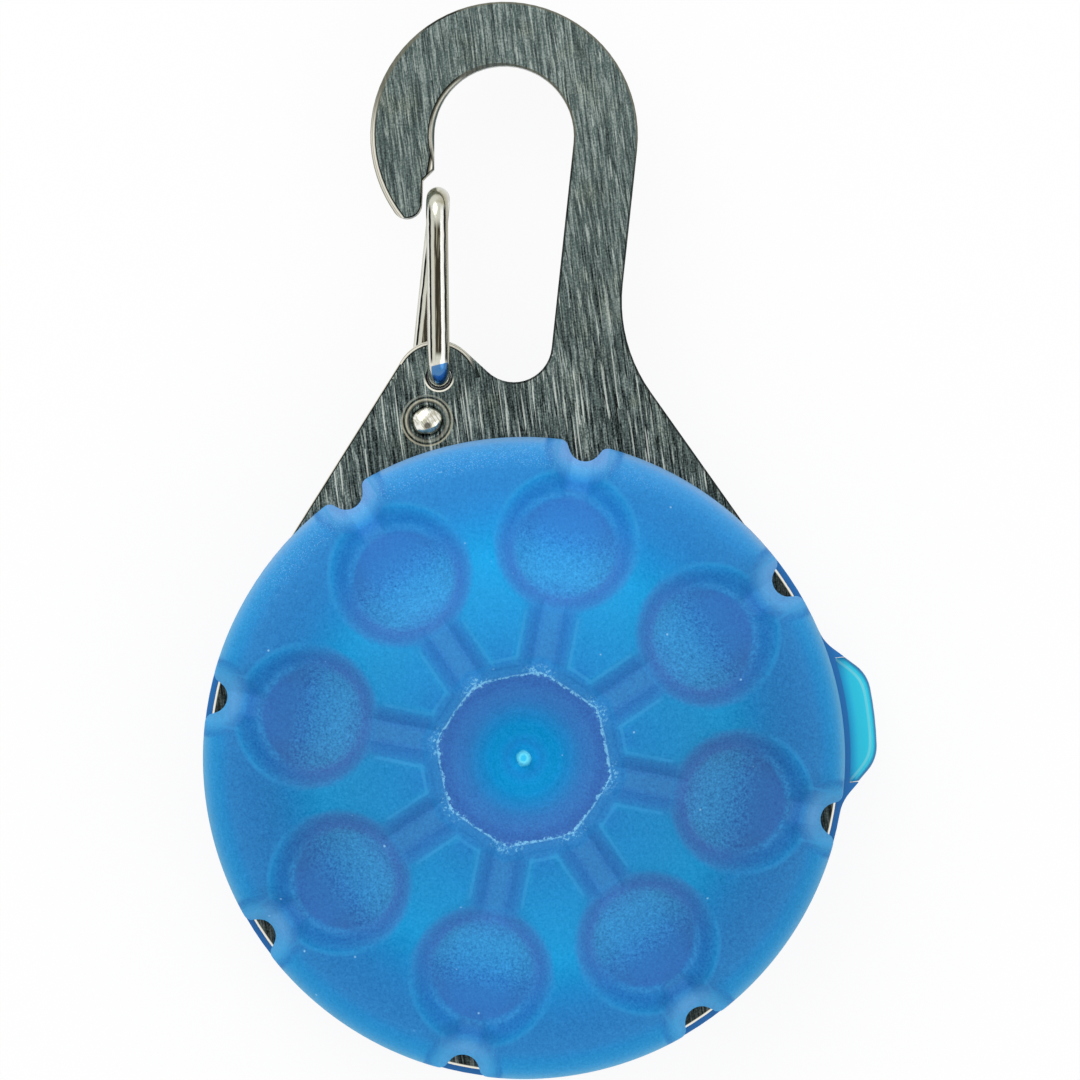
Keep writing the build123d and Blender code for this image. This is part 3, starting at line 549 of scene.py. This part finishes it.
def frostedBlue():
    f = Finish("frostedBluePlastic")
    spot, (x, y, _) = f.place()
    painted = f.node("ShaderNodeAttribute", {"attribute_name": "skin"}, {}, "Color")
    sandy = f.node("ShaderNodeAttribute", {"attribute_name": "skin"}, {}, "Alpha")
    cloud = f.noise(spot, 0.5, 3.0)
    fine = f.noise(spot, 8.5, 1.0, 0.6)
    sand = f.noise(spot, 5.2, 2.0, 0.6)
    ragged = f.noise(spot, 1.6, 3.0, 0.7)
    torn = f.noise(spot, 5.0, 3.0, 0.7)

    # where a point lies in the lens pattern
    reach = f.away(x, y)
    angle = f.maths("ARCTAN2", y, x)
    turn = f.maths("WRAP", angle - math.radians(s["armAngle"]), s["sector"] / 2, -s["sector"] / 2)
    between = f.maths("WRAP", turn + s["sector"] / 2, s["sector"] / 2, -s["sector"] / 2)
    along = reach * f.maths("COSINE", turn)
    across = abs(reach * f.maths("SINE", turn))
    hub = reach * (f.maths("COSINE", between) * (1 - s["hubRound"]) + s["hubRound"])
    dimple = f.away(along, across, (s["dimpleAt"], 0.0))
    ring = f.away(along, across, (s["dimpleAt"] + s["ringShift"], 0.0))

    grain = (sand - 0.5) * 1.2 + (fine - 0.5) * 1.2
    colour = f.shaded(painted, 0.96 + cloud * 0.08)
    colour = f.lifted(colour, frosted["tint"], grain * sandy * frosted["grain"])

    # ragged bright line round the hub's mouth, with splinters where the spokes meet it
    wander = hub + (ragged - 0.5) * 0.42 + (torn - 0.5) * 0.2 - s["hubFlats"]
    wide = 0.012 + ragged.step(0.42, 0.66) * 0.07
    line = (1 - ((abs(wander) - wide) / 0.05).clip()) * torn.step(0.36, 0.54)
    splinter = wander.line(0.18, 0.3) * (1 - across.step(0.5, 1.3)) * torn.step(0.53, 0.6) * 0.7
    colour = f.mixed((line * 0.9 + splinter).clip(), colour, frosted["line"])

    # painted highlights: faint light lines along the sides and ends of the petals and outside the rings
    petalEnd = hub.line(s["hubFlats"] + 1.08, 0.1) * across.step(1.4, 1.7)
    petalSide = across.line(1.56, 0.09) * hub.step(5.6, 6.0) * dimple.step(4.2, 4.5)
    ringLine = ring.line(4.22, 0.12) * (0.1 + 0.5 * along.step(13.4, 15.0)) * across.step(0.9, 1.6)
    paintedLightLines = (petalEnd + petalSide + ringLine).clip() * (0.15 + cloud * 0.5)
    colour = f.mixed(paintedLightLines, colour, frosted["petalHighlight"])

    # painted highlight: rough bright crest at the far side of each bowl
    crest = dimple.line(s["dimpleBowl"] + (ragged - 0.5) * 0.3, 0.16) * along.step(13.4, 14.8)
    colour = f.mixed(crest * sand.step(0.46, 0.62) * 0.28, colour, frosted["petalHighlight"])

    # faint rings in the well and the gate mark in its middle
    rings = f.maths("SINE", reach * frosted["wellRings"] + ragged * 2.0)
    rings = rings * (1 - reach.step(2.4, 4.2)) * frosted["wellRingShade"]
    colour = f.shaded(colour, 1 + rings)
    blot = reach + (f.noise(spot, 2.6, 2.0) - 0.5) * 0.35
    colour = f.mixed(1 - blot.step(*frosted["markEdge"]), colour, frosted["mark"])
    colour = f.mixed(blot.line(*frosted["markRingAt"]) * 0.9, colour, frosted["markRing"])

    # bright specks all over, and a painted glint on the upper rim
    paintedRimGlint = f.noise(spot, 13.0, 0.0).step(0.6, 0.75) * reach.line(*frosted["sparkleAt"])
    paintedRimGlint = paintedRimGlint * (y - x * 0.3).step(*frosted["sparkleFrom"])
    dots = (f.specks(spot, *frosted["specks"]) * 0.7 + paintedRimGlint * 0.35).clip()
    colour = f.mixed(dots, colour, frosted["speckAndGlint"])
    height = fine * 0.4 + sand * sandy * 0.9 + line * 0.6
    return f.shade(BaseColor=colour, Roughness=frosted["rough"] + (sand - 0.5) * 0.15,
                   Normal=f.bump(height, frosted["bumpy"], 0.12), SpecularIORLevel=0.1)


# brushed steel of the plate, with painted highlights and shade on its bevels and round both holes

# dark, edge, warm and dull also paint shade and highlights on the bevels, round the holes and in the bites
steel = {"dark": tone(18, 22, 22), "mid": tone(82, 96, 94), "light": tone(158, 169, 163),
         "bright": tone(232, 236, 228), "edge": tone(240, 237, 222), "warm": tone(196, 192, 170),
         "pale": tone(196, 200, 194), "dull": tone(120, 118, 102), "tarnish": tone(206, 188, 158),
         # the brushing: how far it leans, and the size of its three kinds of streak
         "lean": 7.0, "hair": (0.075, 2.8, 3.0), "thread": (0.06, 0.9, 3.0), "strand": (0.14, 5.0, 3.0),
         "coin": 1.53, "ring": 1.26, "hole": (0.79, 0.82), "bevel": 0.34,
         # the painted bevel inside the hook: slope and offset of its edge, width, and where it ends
         "wallSlope": 0.1765, "wallOffset": 11.93, "wallWidth": 0.46, "wallLow": (33.9, 34.2),
         "wallHigh": (36.0, 36.3), "wallSide": (-5.2, -5.1),
         # where the nose, the hump round the hole and the inner side of the hook begin and end
         "noseSide": (-5.7, -5.4), "noseTop": (36.5, 40.0), "humpRound": (2.9, 4.2),
         "humpLow": (22.0, 24.0), "humpSide": (-3.3, -2.9), "tailRound": (3.6, 4.6),
         "innerNear": (-4.2, -3.4), "innerFar": (-6.2, -5.6), "innerLow": (32.0, 33.0),
         # what is seen through the bites of the lens: a band of painted shade, the line of its painted
         # highlight, its upper end
         "rimBand": (17.4, 17.7, 18.7, 18.75), "rimLine": 18.6, "rimBelow": (12.5, 13.0),
         "specks": (1.1, 0.07, 0.42)}


def brushedSteel():
    f = Finish("brushedSteel")
    spot, (x, y, z) = f.place()
    hair = f.needles(spot, steel["lean"], steel["hair"])
    thread = f.needles(spot, steel["lean"] + 1.6, steel["thread"])
    strand = f.needles(spot, steel["lean"] - 1.0, steel["strand"])
    grit = f.noise(spot, 9.0, 1.0)
    cloud = f.noise(spot, 0.16, 2.0)
    low = 1 - y.step(16.0, 36.0)
    contrast = 0.66 + low * 0.26
    grainLevel = (hair - 0.5) * 0.44 + (thread - 0.5) * 0.46 + (strand - 0.5) * 0.12 + (grit - 0.5) * 0.8
    level = 0.44 + grainLevel * contrast + (cloud - 0.5) * 0.08
    # painted light: lighter towards the top of the hook, darker low down and darker still to the lower
    # right
    level = level + y.step(24.0, 44.0) * 0.06 - low * 0.06 - x.step(2.0, 15.0) * low * 0.03
    colour = f.ramp(level, (0.08, steel["dark"]), (0.46, steel["mid"]), (0.88, steel["light"]))
    stained = f.noise(spot, 0.45, 3.0).step(0.48, 0.72) * 0.2
    colour = f.mixed(stained, colour, steel["tarnish"], "OVERLAY")
    glints = thread.step(0.95, 0.97) * 0.12 + hair.step(0.95, 0.96) * low * 0.4
    colour = f.mixed(glints, colour, steel["bright"])
    colour = f.mixed(f.specks(spot, *steel["specks"]) * 0.6, colour, steel["bright"])

    # painted highlights and shade as rings round the foot's coined seat, stronger on its upper side, then
    # painted shade at the edge of the wire's hole and a painted highlight on the lip under it
    seat = f.away(x, y, foot)
    front = z.step(plateHigh[2] - 0.5, plateHigh[2] - 0.4)
    patchyHighlight = 0.55 + (f.noise(spot, 2.2, 2.0) - 0.4) * 0.9
    upper = 0.4 + 0.6 * (y - x).step(foot[1] - foot[0] - 0.9, foot[1] - foot[0] + 0.9)
    rings = seat.line(steel["coin"] - 0.05, 0.05) + seat.line(steel["ring"] - 0.04, 0.09) * upper
    colour = f.mixed((rings * patchyHighlight * front).clip(), colour, steel["warm"])
    dark = seat.line(steel["coin"] - 0.15, 0.05) * 0.8 + seat.line(steel["ring"] - 0.13, 0.07) * upper
    colour = f.mixed(dark.clip() * front * 0.7, colour, steel["dark"])
    eye = f.away(x, y, (pivot[0], pivot[1]))
    below = 1 - (y - pivot[1]).step(-0.5, 0.1)
    colour = f.mixed((1 - eye.step(*steel["hole"])).clip(), colour, steel["dark"])
    colour = f.mixed(eye.line(0.86, 0.045) * below * front * 0.9, colour, steel["edge"])

    # upright walls are sawn, and darker inside the wire's hole
    up = abs(f.split(f.node("ShaderNodeNewGeometry", {}, {}, "Normal"))[2])
    sawn = f.ramp(f.needles(spot, 0.0, (0.3, 0.3, 2.5)) * 0.5 + grit * 0.5,
                  (0.0, steel["mid"]), (1.0, steel["pale"]))
    colour = f.mixed((1 - up.step(0.15, 0.3)) * (1 - eye.step(*steel["hole"]) * 0.25), colour, sawn)

    # bevels, with painted light and shade: a dark crease as painted shade, then painted highlights on the
    # nose and the hump, and dull elsewhere
    slant = up.step(0.3, 0.5) * (1 - up.step(0.86, 0.97)) * seat.step(1.5, 1.9) * eye.step(0.9, 1.0)
    drop = (plateHigh[2] - z) / steel["bevel"]
    nose = (1 - x.step(*steel["noseSide"])) * (1 - y.step(*steel["noseTop"]))
    hump = (1 - eye.step(*steel["humpRound"])) * y.step(*steel["humpLow"])
    hump = hump * (1 - x.step(*steel["humpSide"]))
    inside = (1 - x.step(*steel["innerNear"])) * x.step(*steel["innerFar"]) * y.step(*steel["innerLow"])
    pale = f.ramp(drop, (0.16, steel["dark"]), (0.3, steel["edge"]), (0.5, steel["edge"]),
                  (0.57, steel["dull"]), (0.66, steel["edge"]), (1.0, steel["dull"]))
    wallTones = ((0.2, steel["dark"]), (0.4, steel["dull"]), (0.62, steel["edge"]), (0.9, steel["mid"]))
    paintedCreaseShade = f.mixed(y.step(34.0, 38.0), steel["dark"], steel["dull"])
    tail = slant * (1 - eye.step(*steel["tailRound"])) * x.step(*steel["humpSide"])
    colour = f.mixed((slant * 0.7 - tail * 0.7).clip(), colour, paintedCreaseShade)
    colour = f.mixed(slant * inside * 0.9, colour, f.ramp(drop, *wallTones))
    colour = f.mixed(slant * (nose + hump).clip() * 0.9, colour, pale)

    # painted bevel: the light and dark lines of the wall inside the hook are painted on down to the notch
    inward = x - y * steel["wallSlope"] + steel["wallOffset"]
    paintedBevelStrip = inward.step(0.0, 0.04) * y.step(*steel["wallLow"]) * (1 - y.step(*steel["wallHigh"]))
    paintedBevelStrip = paintedBevelStrip * (1 - x.step(*steel["wallSide"]))
    wall = f.ramp(inward / steel["wallWidth"], *wallTones)
    colour = f.mixed(paintedBevelStrip * up.step(0.6, 0.9) * front, colour, wall)

    # seen through the bites of the lens, the plate is painted dark as shade and ends in a painted highlight
    # on its edge
    reach = f.away(x, y)
    band = steel["rimBand"]
    rim = reach.step(*band[:2]) * (1 - reach.step(*band[2:])) * (1 - y.step(*steel["rimBelow"]))
    rim = rim * up.step(0.3, 0.5)
    colour = f.mixed(rim * 0.6, colour, steel["dark"])
    colour = f.mixed(rim * reach.line(steel["rimLine"], 0.07), colour, steel["edge"])
    return f.shade(BaseColor=colour, Metallic=1.0, Roughness=0.3 + hair * 0.2,
                   Normal=f.bump(hair + thread, 0.12, 0.04))


# drawn wire: light and dark lines of painted reflection run along it, and where it bends its painted
# reflection turns to a soft grey and white

# colours of the wire's painted reflections, also used for its head
wireTone = {"pale": tone(206, 206, 192), "white": tone(243, 243, 236), "tan": tone(172, 168, 144),
            "brown": tone(58, 53, 42), "black": tone(16, 17, 15), "grey": tone(138, 137, 124),
            "sky": tone(52, 117, 175),
            # painted reflection of the blue lens on the tip above the hole: its middle from the pivot, its
            # half sizes, and its slanted cut
            "tipAt": (0.05, 0.45), "tipSize": (0.5, 0.95), "tipTilt": 0.26, "tipCut": (0.68, 0.74),
            "dentAt": (0.03, -0.3), "dent": (0.12, 0.28)}


def polishedWire():
    f = Finish("polishedWire")
    spot, (x, y, z) = f.place()
    outward = f.node("ShaderNodeAttribute", {"attribute_name": "outward"}, {}, "Vector")
    side, ahead, up = f.split(outward)
    drawn = f.noise(spot, 1.4, 3.0)
    along = f.streak(spot, 0.0, (0.12, 3.0, 3.0), 2.0)
    # painted reflections: the colour across the wire follows which way its surface faces, with drawn
    # streaks along the middle
    at = side * 0.5 + 0.5 + (drawn - 0.5) * 0.05 + (along - 0.5) * 0.04
    t = wireTone
    tipX, tipY = pivot[0] + t["tipAt"][0], pivot[1] + t["tipAt"][1]
    paintedLightLines = f.ramp(at, (0.0, t["grey"]), (0.05, t["pale"]), (0.11, t["white"]), (0.135, t["black"]),
                   (0.2, t["black"]), (0.23, t["pale"]), (0.34, t["pale"]), (0.385, t["brown"]),
                   (0.62, t["brown"]), (0.66, t["white"]), (0.78, t["white"]), (0.815, t["black"]),
                   (0.865, t["black"]), (0.89, t["pale"]), (0.95, t["tan"]), (1.0, t["grey"]))
    streaked = f.mixed(along.step(0.5, 0.66) * 0.7, paintedLightLines, t["tan"])
    ends = y.step(pivot[1] + 1.1, pivot[1] + 1.5) * (1 - y.step(wireHigh[1] - 2.6, wireHigh[1] - 1.8))
    streaked = f.mixed(1 - ends, streaked, t["pale"])
    colour = f.mixed(at.line(0.5, 0.14, 0.2), paintedLightLines, streaked)
    # painted reflections where the wire bends: pale and white, and tan and pale towards its top
    bend = f.mixed(drawn.step(0.35, 0.65), t["pale"], t["white"])
    crown = f.mixed(drawn.step(0.35, 0.6), t["tan"], t["pale"])
    bend = f.mixed(y.step(wireHigh[1] - 3.0, wireHigh[1] - 1.0), bend, crown)
    low = (1 - y.step(pivot[1] + 0.7, pivot[1] + 1.1)) * z.step(plateHigh[2], plateHigh[2] + 0.1)
    colour = f.mixed((abs(ahead).step(0.12, 0.4) + low * 0.8).clip(), colour, bend)
    # painted reflection of the blue lens on the wire just above its hole
    oval = ((x - tipX) / t["tipSize"][0]) ** 2.0 + ((y - tipY) / t["tipSize"][1]) ** 2.0
    slanted = y - (x - pivot[0]) * t["tipTilt"]
    cutLow, cutHigh = t["tipCut"]
    blueReflection = 1 - oval.step(0.85, 1.1)
    blueReflection = blueReflection * (1 - slanted.step(pivot[1] + cutLow, pivot[1] + cutHigh)) * up.step(0.1, 0.2)
    blueReflection = blueReflection * z.step(plateHigh[2] - 0.6, plateHigh[2]) * (0.8 + drawn * 0.3)
    colour = f.mixed(blueReflection, colour, t["sky"])

    # painted shade where the wire is sunk in its hole
    sunkShade = 1 - z.step(plateHigh[2] - 0.7, plateHigh[2] - 0.3)
    sunkShade = sunkShade * (1 - f.away(x, y, (pivot[0], pivot[1])).step(0.8, 0.9))
    colour = f.mixed(sunkShade, colour, t["black"])

    # hammered head of the foot, scratched and dented
    scratched = f.streak(spot, 35.0, (0.06, 0.7, 1.0), 2.0)
    head = f.mixed(f.noise(spot, 3.5, 2.0).step(0.4, 0.6), t["pale"], t["white"])
    head = f.mixed(scratched.step(0.48, 0.6) * 0.8, head, t["tan"])
    dentAt = (foot[0] + t["dentAt"][0], foot[1] + t["dentAt"][1])
    dent = 1 - f.away(x, y, dentAt).step(*t["dent"])
    head = f.mixed(dent * 0.85, head, t["brown"])
    footTop = z.step(plateHigh[2] - 0.35, plateHigh[2] - 0.2)
    footTop = footTop * (1 - f.away(x, y, foot).step(1.0, 1.2))
    colour = f.mixed(footTop, colour, head)
    return f.shade(BaseColor=colour, Metallic=1.0, Roughness=0.1 + drawn * 0.14,
                   Normal=f.bump(scratched, 0.1, 0.03))


# clear blue rear cover and cyan side button

blue = {"rear": tone(22, 114, 194), "rearDeep": tone(10, 98, 178), "rearPaintedLight": tone(30, 136, 210),
        "button": tone(42, 212, 236), "buttonShadeAndSpeck": tone(20, 176, 224),
        "buttonHighlight": tone(128, 226, 236), "buttonEdgeShade": tone(8, 112, 170),
        # radii over which the cover turns deep and then gets its painted lit edge, and over which the
        # button comes out of the cover's painted shade
        "deepFrom": (9.0, 17.5), "paintedLightFrom": (17.8, 19.6), "buttonFrom": (19.4, 20.0)}


def clearBlue():
    f = Finish("clearBluePlastic")
    spot, (x, y, _) = f.place()
    reach = f.away(x, y)
    flow = f.noise(spot, 0.14, 2.0)
    fine = f.noise(spot, 6.0, 2.0)
    colour = f.mixed(reach.step(*blue["deepFrom"]), blue["rear"], blue["rearDeep"])
    # painted light: the cover's edge is painted lighter, as if lit through it, and a cloudy share is
    # lightened all over
    paintedEdgeLight = (reach.step(*blue["paintedLightFrom"]) * 0.45 + flow * 0.2).clip()
    colour = f.mixed(paintedEdgeLight, colour, blue["rearPaintedLight"])
    colour = f.shaded(colour, 0.95 + fine * 0.1)
    return f.shade(BaseColor=colour, Roughness=0.16 + flow * 0.1, CoatWeight=0.12, CoatRoughness=0.06,
                   SpecularIORLevel=0.25)


# the button's outline: a crown over two slanted shoulders, from its foot
button = {"crown": boxOf("side_button")[1][0] + 0.04, "shoulder": 4.24, "foot": 19.05,
          "slant": 0.93, "slantShare": 0.732, "rounding": 0.9,
          "lineAt": (0.42, 0.075), "edge": (0.04, 0.3), "specks": (1.7, 0.05, 0.4)}


def cyanButton():
    f = Finish("cyanButtonPlastic")
    spot, (x, y, _) = f.place()
    forward = -(x * press[0] + y * press[1])
    sideways = abs(x * press[1] - y * press[0])
    flow = f.noise(spot, 0.6, 2.0)
    # how far a point lies inside the button's outline
    slanted = button["shoulder"] - sideways - (forward - button["foot"]) * button["slant"]
    depth = f.maths("SMOOTH_MIN", button["crown"] - f.away(forward, sideways),
                    slanted * button["slantShare"], button["rounding"])
    # painted shade from the cover on the button's inner part, a painted highlight line inside its outline,
    # and its outline darkened as painted shade
    colour = f.mixed(f.away(x, y).step(*blue["buttonFrom"]), blue["buttonShadeAndSpeck"], blue["button"])
    line = depth.line(*button["lineAt"]) * (0.5 + flow * 0.5)
    colour = f.mixed(line, colour, blue["buttonHighlight"])
    colour = f.mixed(1 - depth.step(*button["edge"]), colour, blue["buttonEdgeShade"])
    colour = f.mixed(f.specks(spot, *button["specks"]) * 0.5, colour, blue["buttonShadeAndSpeck"])
    return f.shade(BaseColor=colour, Roughness=0.14 + flow * 0.1, CoatWeight=0.1, CoatRoughness=0.05,
                   SpecularIORLevel=0.2)


def plainFinish(name, light, dark, scale, rough, metallic=0.0, bump=0.1):
    f = Finish(name)
    spot = f.place()[0]
    cloud = f.noise(spot, scale, 3.0, 0.6)
    fine = f.noise(spot, scale * 9, 2.0)
    colour = f.mixed((cloud * 0.7 + fine * 0.3).clip(), dark, light)
    return f.shade(BaseColor=colour, Roughness=rough + (fine - 0.5) * 0.15, Metallic=metallic,
                   Normal=f.bump(fine, bump, 0.05))


finishes = {
    "frosted_blue_plastic": frostedBlue(),
    "clear_blue_plastic": clearBlue(),
    "cyan_button_plastic": cyanButton(),
    "brushed_steel": brushedSteel(),
    "polished_wire": polishedWire(),
    "black_rubber": plainFinish("blackRubber", tone(44, 44, 46), tone(24, 24, 26), 1.2, 0.75),
    "black_plastic": plainFinish("blackPlastic", tone(40, 41, 44), tone(24, 25, 28), 1.0, 0.45),
    "white_plastic": plainFinish("whitePlastic", tone(232, 232, 226), tone(208, 208, 204), 0.8, 0.4),
    "cell_steel": plainFinish("cellSteel", tone(205, 206, 202), tone(168, 170, 168), 0.9, 0.28, 1.0),
    "contact_brass": plainFinish("contactBrass", tone(214, 180, 104), tone(176, 138, 70), 1.5, 0.3, 1.0),
    "green_board": plainFinish("greenBoard", tone(34, 104, 66), tone(20, 72, 46), 0.7, 0.35),
    "led_resin": plainFinish("ledResin", tone(236, 226, 150), tone(214, 196, 112), 1.6, 0.2),
    "tan_ceramic": plainFinish("tanCeramic", tone(186, 158, 122), tone(150, 124, 92), 2.0, 0.5),
}
for node in nodes.values():
    for slot in node.material_slots:
        slot.material = finishes[slot.material.name.split(".")[0]]
lens.data.materials.append(finishes["frosted_blue_plastic"])
print("finishes on", len(nodes), "nodes")


# wire gate: two stretches of one bent wire that meet on the crossbar

gateShape = {"bend": 1.1, "footBend": 0.77, "frontInset": 0.14, "heelRise": 1.53,
             "headHigh": 0.42, "headSpread": 1.12, "headRows": 10, "headSunk": 0.02, "coinDeep": 0.18,
             "endFlare": 0.065, "sides": 32, "uneven": 0.06, "blendReach": 1.8}
g = gateShape
frontLevel, rearLevel = wireHigh[2] - wireRadius, wireLow[2] + wireRadius
crossbar = wireHigh[1] - wireRadius
rearTop, rearLow = wireHigh[0] - wireRadius, wireLow[0] + wireRadius
frontTop = rearTop - g["frontInset"]
headLevel = plateHigh[2] - g["coinDeep"]


def bentPath(corners, bends, arcSteps=10, runStep=0.35):
    # straight runs joined by arcs, as dense points
    corners = [Vector(corner) for corner in corners]
    points = [corners[0]]
    for before, corner, after, bend in zip(corners, corners[1:], corners[2:], bends):
        back, ahead = (before - corner).normalized(), (after - corner).normalized()
        angle = back.angle(ahead)
        reach = bend / math.tan(angle / 2)
        centre = corner + (back + ahead).normalized() * bend / math.sin(angle / 2)
        first, last = corner + back * reach - centre, corner + ahead * reach - centre
        sweep = first.angle(last)
        for step in range(arcSteps + 1):
            share = step / arcSteps
            mix = math.sin((1 - share) * sweep) * first + math.sin(share * sweep) * last
            points.append(centre + mix / math.sin(sweep))
    points.append(corners[-1])
    dense = [points[0]]
    for before, after in zip(points, points[1:]):
        count = max(1, math.ceil((after - before).length / runStep))
        dense += [before.lerp(after, (step + 1) / count) for step in range(count)]
    return dense


def tubeMesh(path, radius, sides):
    points, outward = [], []
    direction = (path[1] - path[0]).normalized()
    across = direction.orthogonal().normalized()
    for index, spot in enumerate(path):
        ahead = (path[min(index + 1, len(path) - 1)] - path[max(index - 1, 0)]).normalized()
        across = (across - ahead * across.dot(ahead)).normalized()
        other = ahead.cross(across)
        for side in range(sides):
            angle = 2 * math.pi * side / sides
            outward.append(math.cos(angle) * across + math.sin(angle) * other)
            points.append(spot + radius * outward[-1])
    faces = [tuple(reversed(face)) for face in bandFaces(len(path), sides)]
    faces.append(tuple(range(sides)))
    faces.append(tuple(reversed(range(len(points) - sides, len(points)))))
    return points, outward, faces


def wirePiece(name, points, outward, faces):
    piece = meshPiece(name, points, faces)
    facing = piece.data.attributes.new("outward", "FLOAT_VECTOR", "POINT")
    facing.data.foreach_set("vector", np.asarray(outward).ravel())
    piece.data.materials.append(finishes["polished_wire"])
    return piece


def peenedHead(points, outward, faces):
    # low uneven dome where the wire's end is hammered over
    rows, sides, first = g["headRows"], g["sides"], len(points)
    for row in range(rows):
        share = row / (rows - 1)
        radius = headRadius * g["headSpread"] * max(math.cos(share * math.pi / 2) ** 0.8, 0.02)
        for side in range(sides):
            angle = 2 * math.pi * side / sides
            dent = 1 + g["uneven"] * (math.sin(2 * angle + 1) + 0.7 * math.sin(5 * angle)) * (1 - share)
            level = headLevel - g["headSunk"] + g["headHigh"] * math.sin(share * math.pi / 2)
            level += 0.3 * g["uneven"] * math.sin(3 * angle + 5 * share) * math.sin(share * math.pi)
            points.append(Vector((foot[0] + radius * dent * math.cos(angle),
                                  foot[1] + radius * dent * math.sin(angle), level)))
            outward.append(Vector((0, 0, 1)))
    faces += bandFaces(rows, sides, first)


middle = ((rearTop + frontTop) / 2, crossbar, (rearLevel + frontLevel) / 2)
frontPath = bentPath([middle, (frontTop, crossbar, frontLevel), (pivot[0], pivot[1], frontLevel),
                      (pivot[0], pivot[1], plateLow[2] + wireGap)], [g["bend"], g["bend"]])
points, outward, faces = tubeMesh(frontPath, wireRadius, g["sides"])
for index in range(len(points) - g["sides"], len(points)):
    points[index] = points[index] + outward[index] * g["endFlare"]
frontWire = wirePiece("frontWire", points, outward, faces)
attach(frontWire, "gate")
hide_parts("gate_wire")

lean = (rearTop - rearLow) / (crossbar - pivot[1])
heelY = foot[1] + g["heelRise"]
heel = (rearLow - lean * (pivot[1] - heelY), heelY, rearLevel)
rearPath = bentPath([middle, (rearTop, crossbar, rearLevel), heel, (*foot, rearLevel), (*foot, headLevel)],
                    [g["bend"], g["footBend"], g["footBend"]])
points, outward, faces = tubeMesh(rearPath, wireRadius, g["sides"])
peenedHead(points, outward, faces)
rearWire = wirePiece("rearWire", points, outward, faces)
# ends of a stretch on both sides of the pivot, worked out and left unused
blendReach = g["blendReach"]
(rearLow + 0.2) * mm
(pivot[1] - blendReach) * mm
rearLevel * mm
(rearLow + 0.1) * mm
(pivot[1] + blendReach) * mm
rearLevel * mm
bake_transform(rearWire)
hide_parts("gate_foot")
print("gate wires made")


# table, lamps and camera

studio = {"centre": (0.95, 12.9, 8.0), "width": 63.9, "lensLength": 400.0, "sensor": 36.0,
          "floor": (0.92, 0.92, 0.92, 1), "floorGlow": 0.9, "floorHalf": 3, "floorDrop": 0.02,
          "world": 0.8, "horizon": 0.8, "key": 1.1, "fill": 0.5, "lampSize": 0.5,
          "keyAt": (-0.2, 0.34, 0.5), "fillAt": (0.38, -0.2, 0.5), "aim": (0, 0.012, 0)}


def seenDirectly(f):
    # 1 where the camera, a reflection or a see-through surface looks, 0 for light on the object
    rays = [f.node("ShaderNodeLightPath", {}, {}, kind) for kind in
            ("Is Camera Ray", "Is Glossy Ray", "Is Transmission Ray")]
    return (rays[0] + rays[1] + rays[2]).clip()


half = studio["floorHalf"]
floorMesh = bpy.data.meshes.new("table")
floorMesh.from_pydata([(-half, -half, 0), (half, -half, 0), (half, half, 0), (-half, half, 0)], [],
                      [(0, 1, 2, 3)])
table = bpy.data.objects.new("table", floorMesh)
bpy.context.scene.collection.objects.link(table)
table.location.z = -studio["floorDrop"] * mm
paper = Finish("whiteTable")
matte = paper.node("ShaderNodeBsdfDiffuse", {}, {"Color": studio["floor"]})
glow = paper.node("ShaderNodeEmission", {}, {"Color": (1, 1, 1, 1), "Strength": 1.0})
surface = paper.node("ShaderNodeMixShader", {},
                     {0: seenDirectly(paper) * studio["floorGlow"], 1: matte, 2: glow})
paper.node("ShaderNodeOutputMaterial", {}, {"Surface": surface})
floorMesh.materials.append(paper.material)


def lamp(name, place, power):
    light = bpy.data.lights.new(name, "AREA")
    light.shape = "DISK"
    light.size = studio["lampSize"]
    light.energy = power
    thing = bpy.data.objects.new(name, light)
    thing.location = place
    thing.rotation_euler = (Vector(studio["aim"]) - Vector(place)).to_track_quat("-Z", "Y").to_euler()
    bpy.context.scene.collection.objects.link(thing)


lamp("keyLamp", studio["keyAt"], studio["key"])
lamp("fillLamp", studio["fillAt"], studio["fill"])

world = bpy.data.worlds.new("studio")
bpy.context.scene.world = world
world.use_nodes = True
sky = Finish("studio", world.node_tree)
height = sky.split(sky.node("ShaderNodeTexCoord", {}, {}, "Generated"))[2]
bright = height.step(0.0, 0.7) * (1 - studio["horizon"]) + studio["horizon"]
seen = seenDirectly(sky)
strength = seen + (1 - seen) * bright * studio["world"]
background = sky.node("ShaderNodeBackground", {}, {"Color": (1, 1, 1, 1), "Strength": strength})
sky.node("ShaderNodeOutputWorld", {}, {"Surface": background})

cameraLens = bpy.data.cameras.new("camera")
cameraLens.lens = studio["lensLength"]
cameraLens.sensor_width = studio["sensor"]
cameraLens.clip_start, cameraLens.clip_end = 0.01, 20.0
camera = bpy.data.objects.new("camera", cameraLens)
bpy.context.scene.collection.objects.link(camera)
across, up, level = studio["centre"]
away = studio["lensLength"] / studio["sensor"] * studio["width"]
camera.location = (across * mm, up * mm, (level + away) * mm)
bpy.context.scene.camera = camera
bpy.context.scene.view_settings.view_transform = "Standard"
print("studio set")
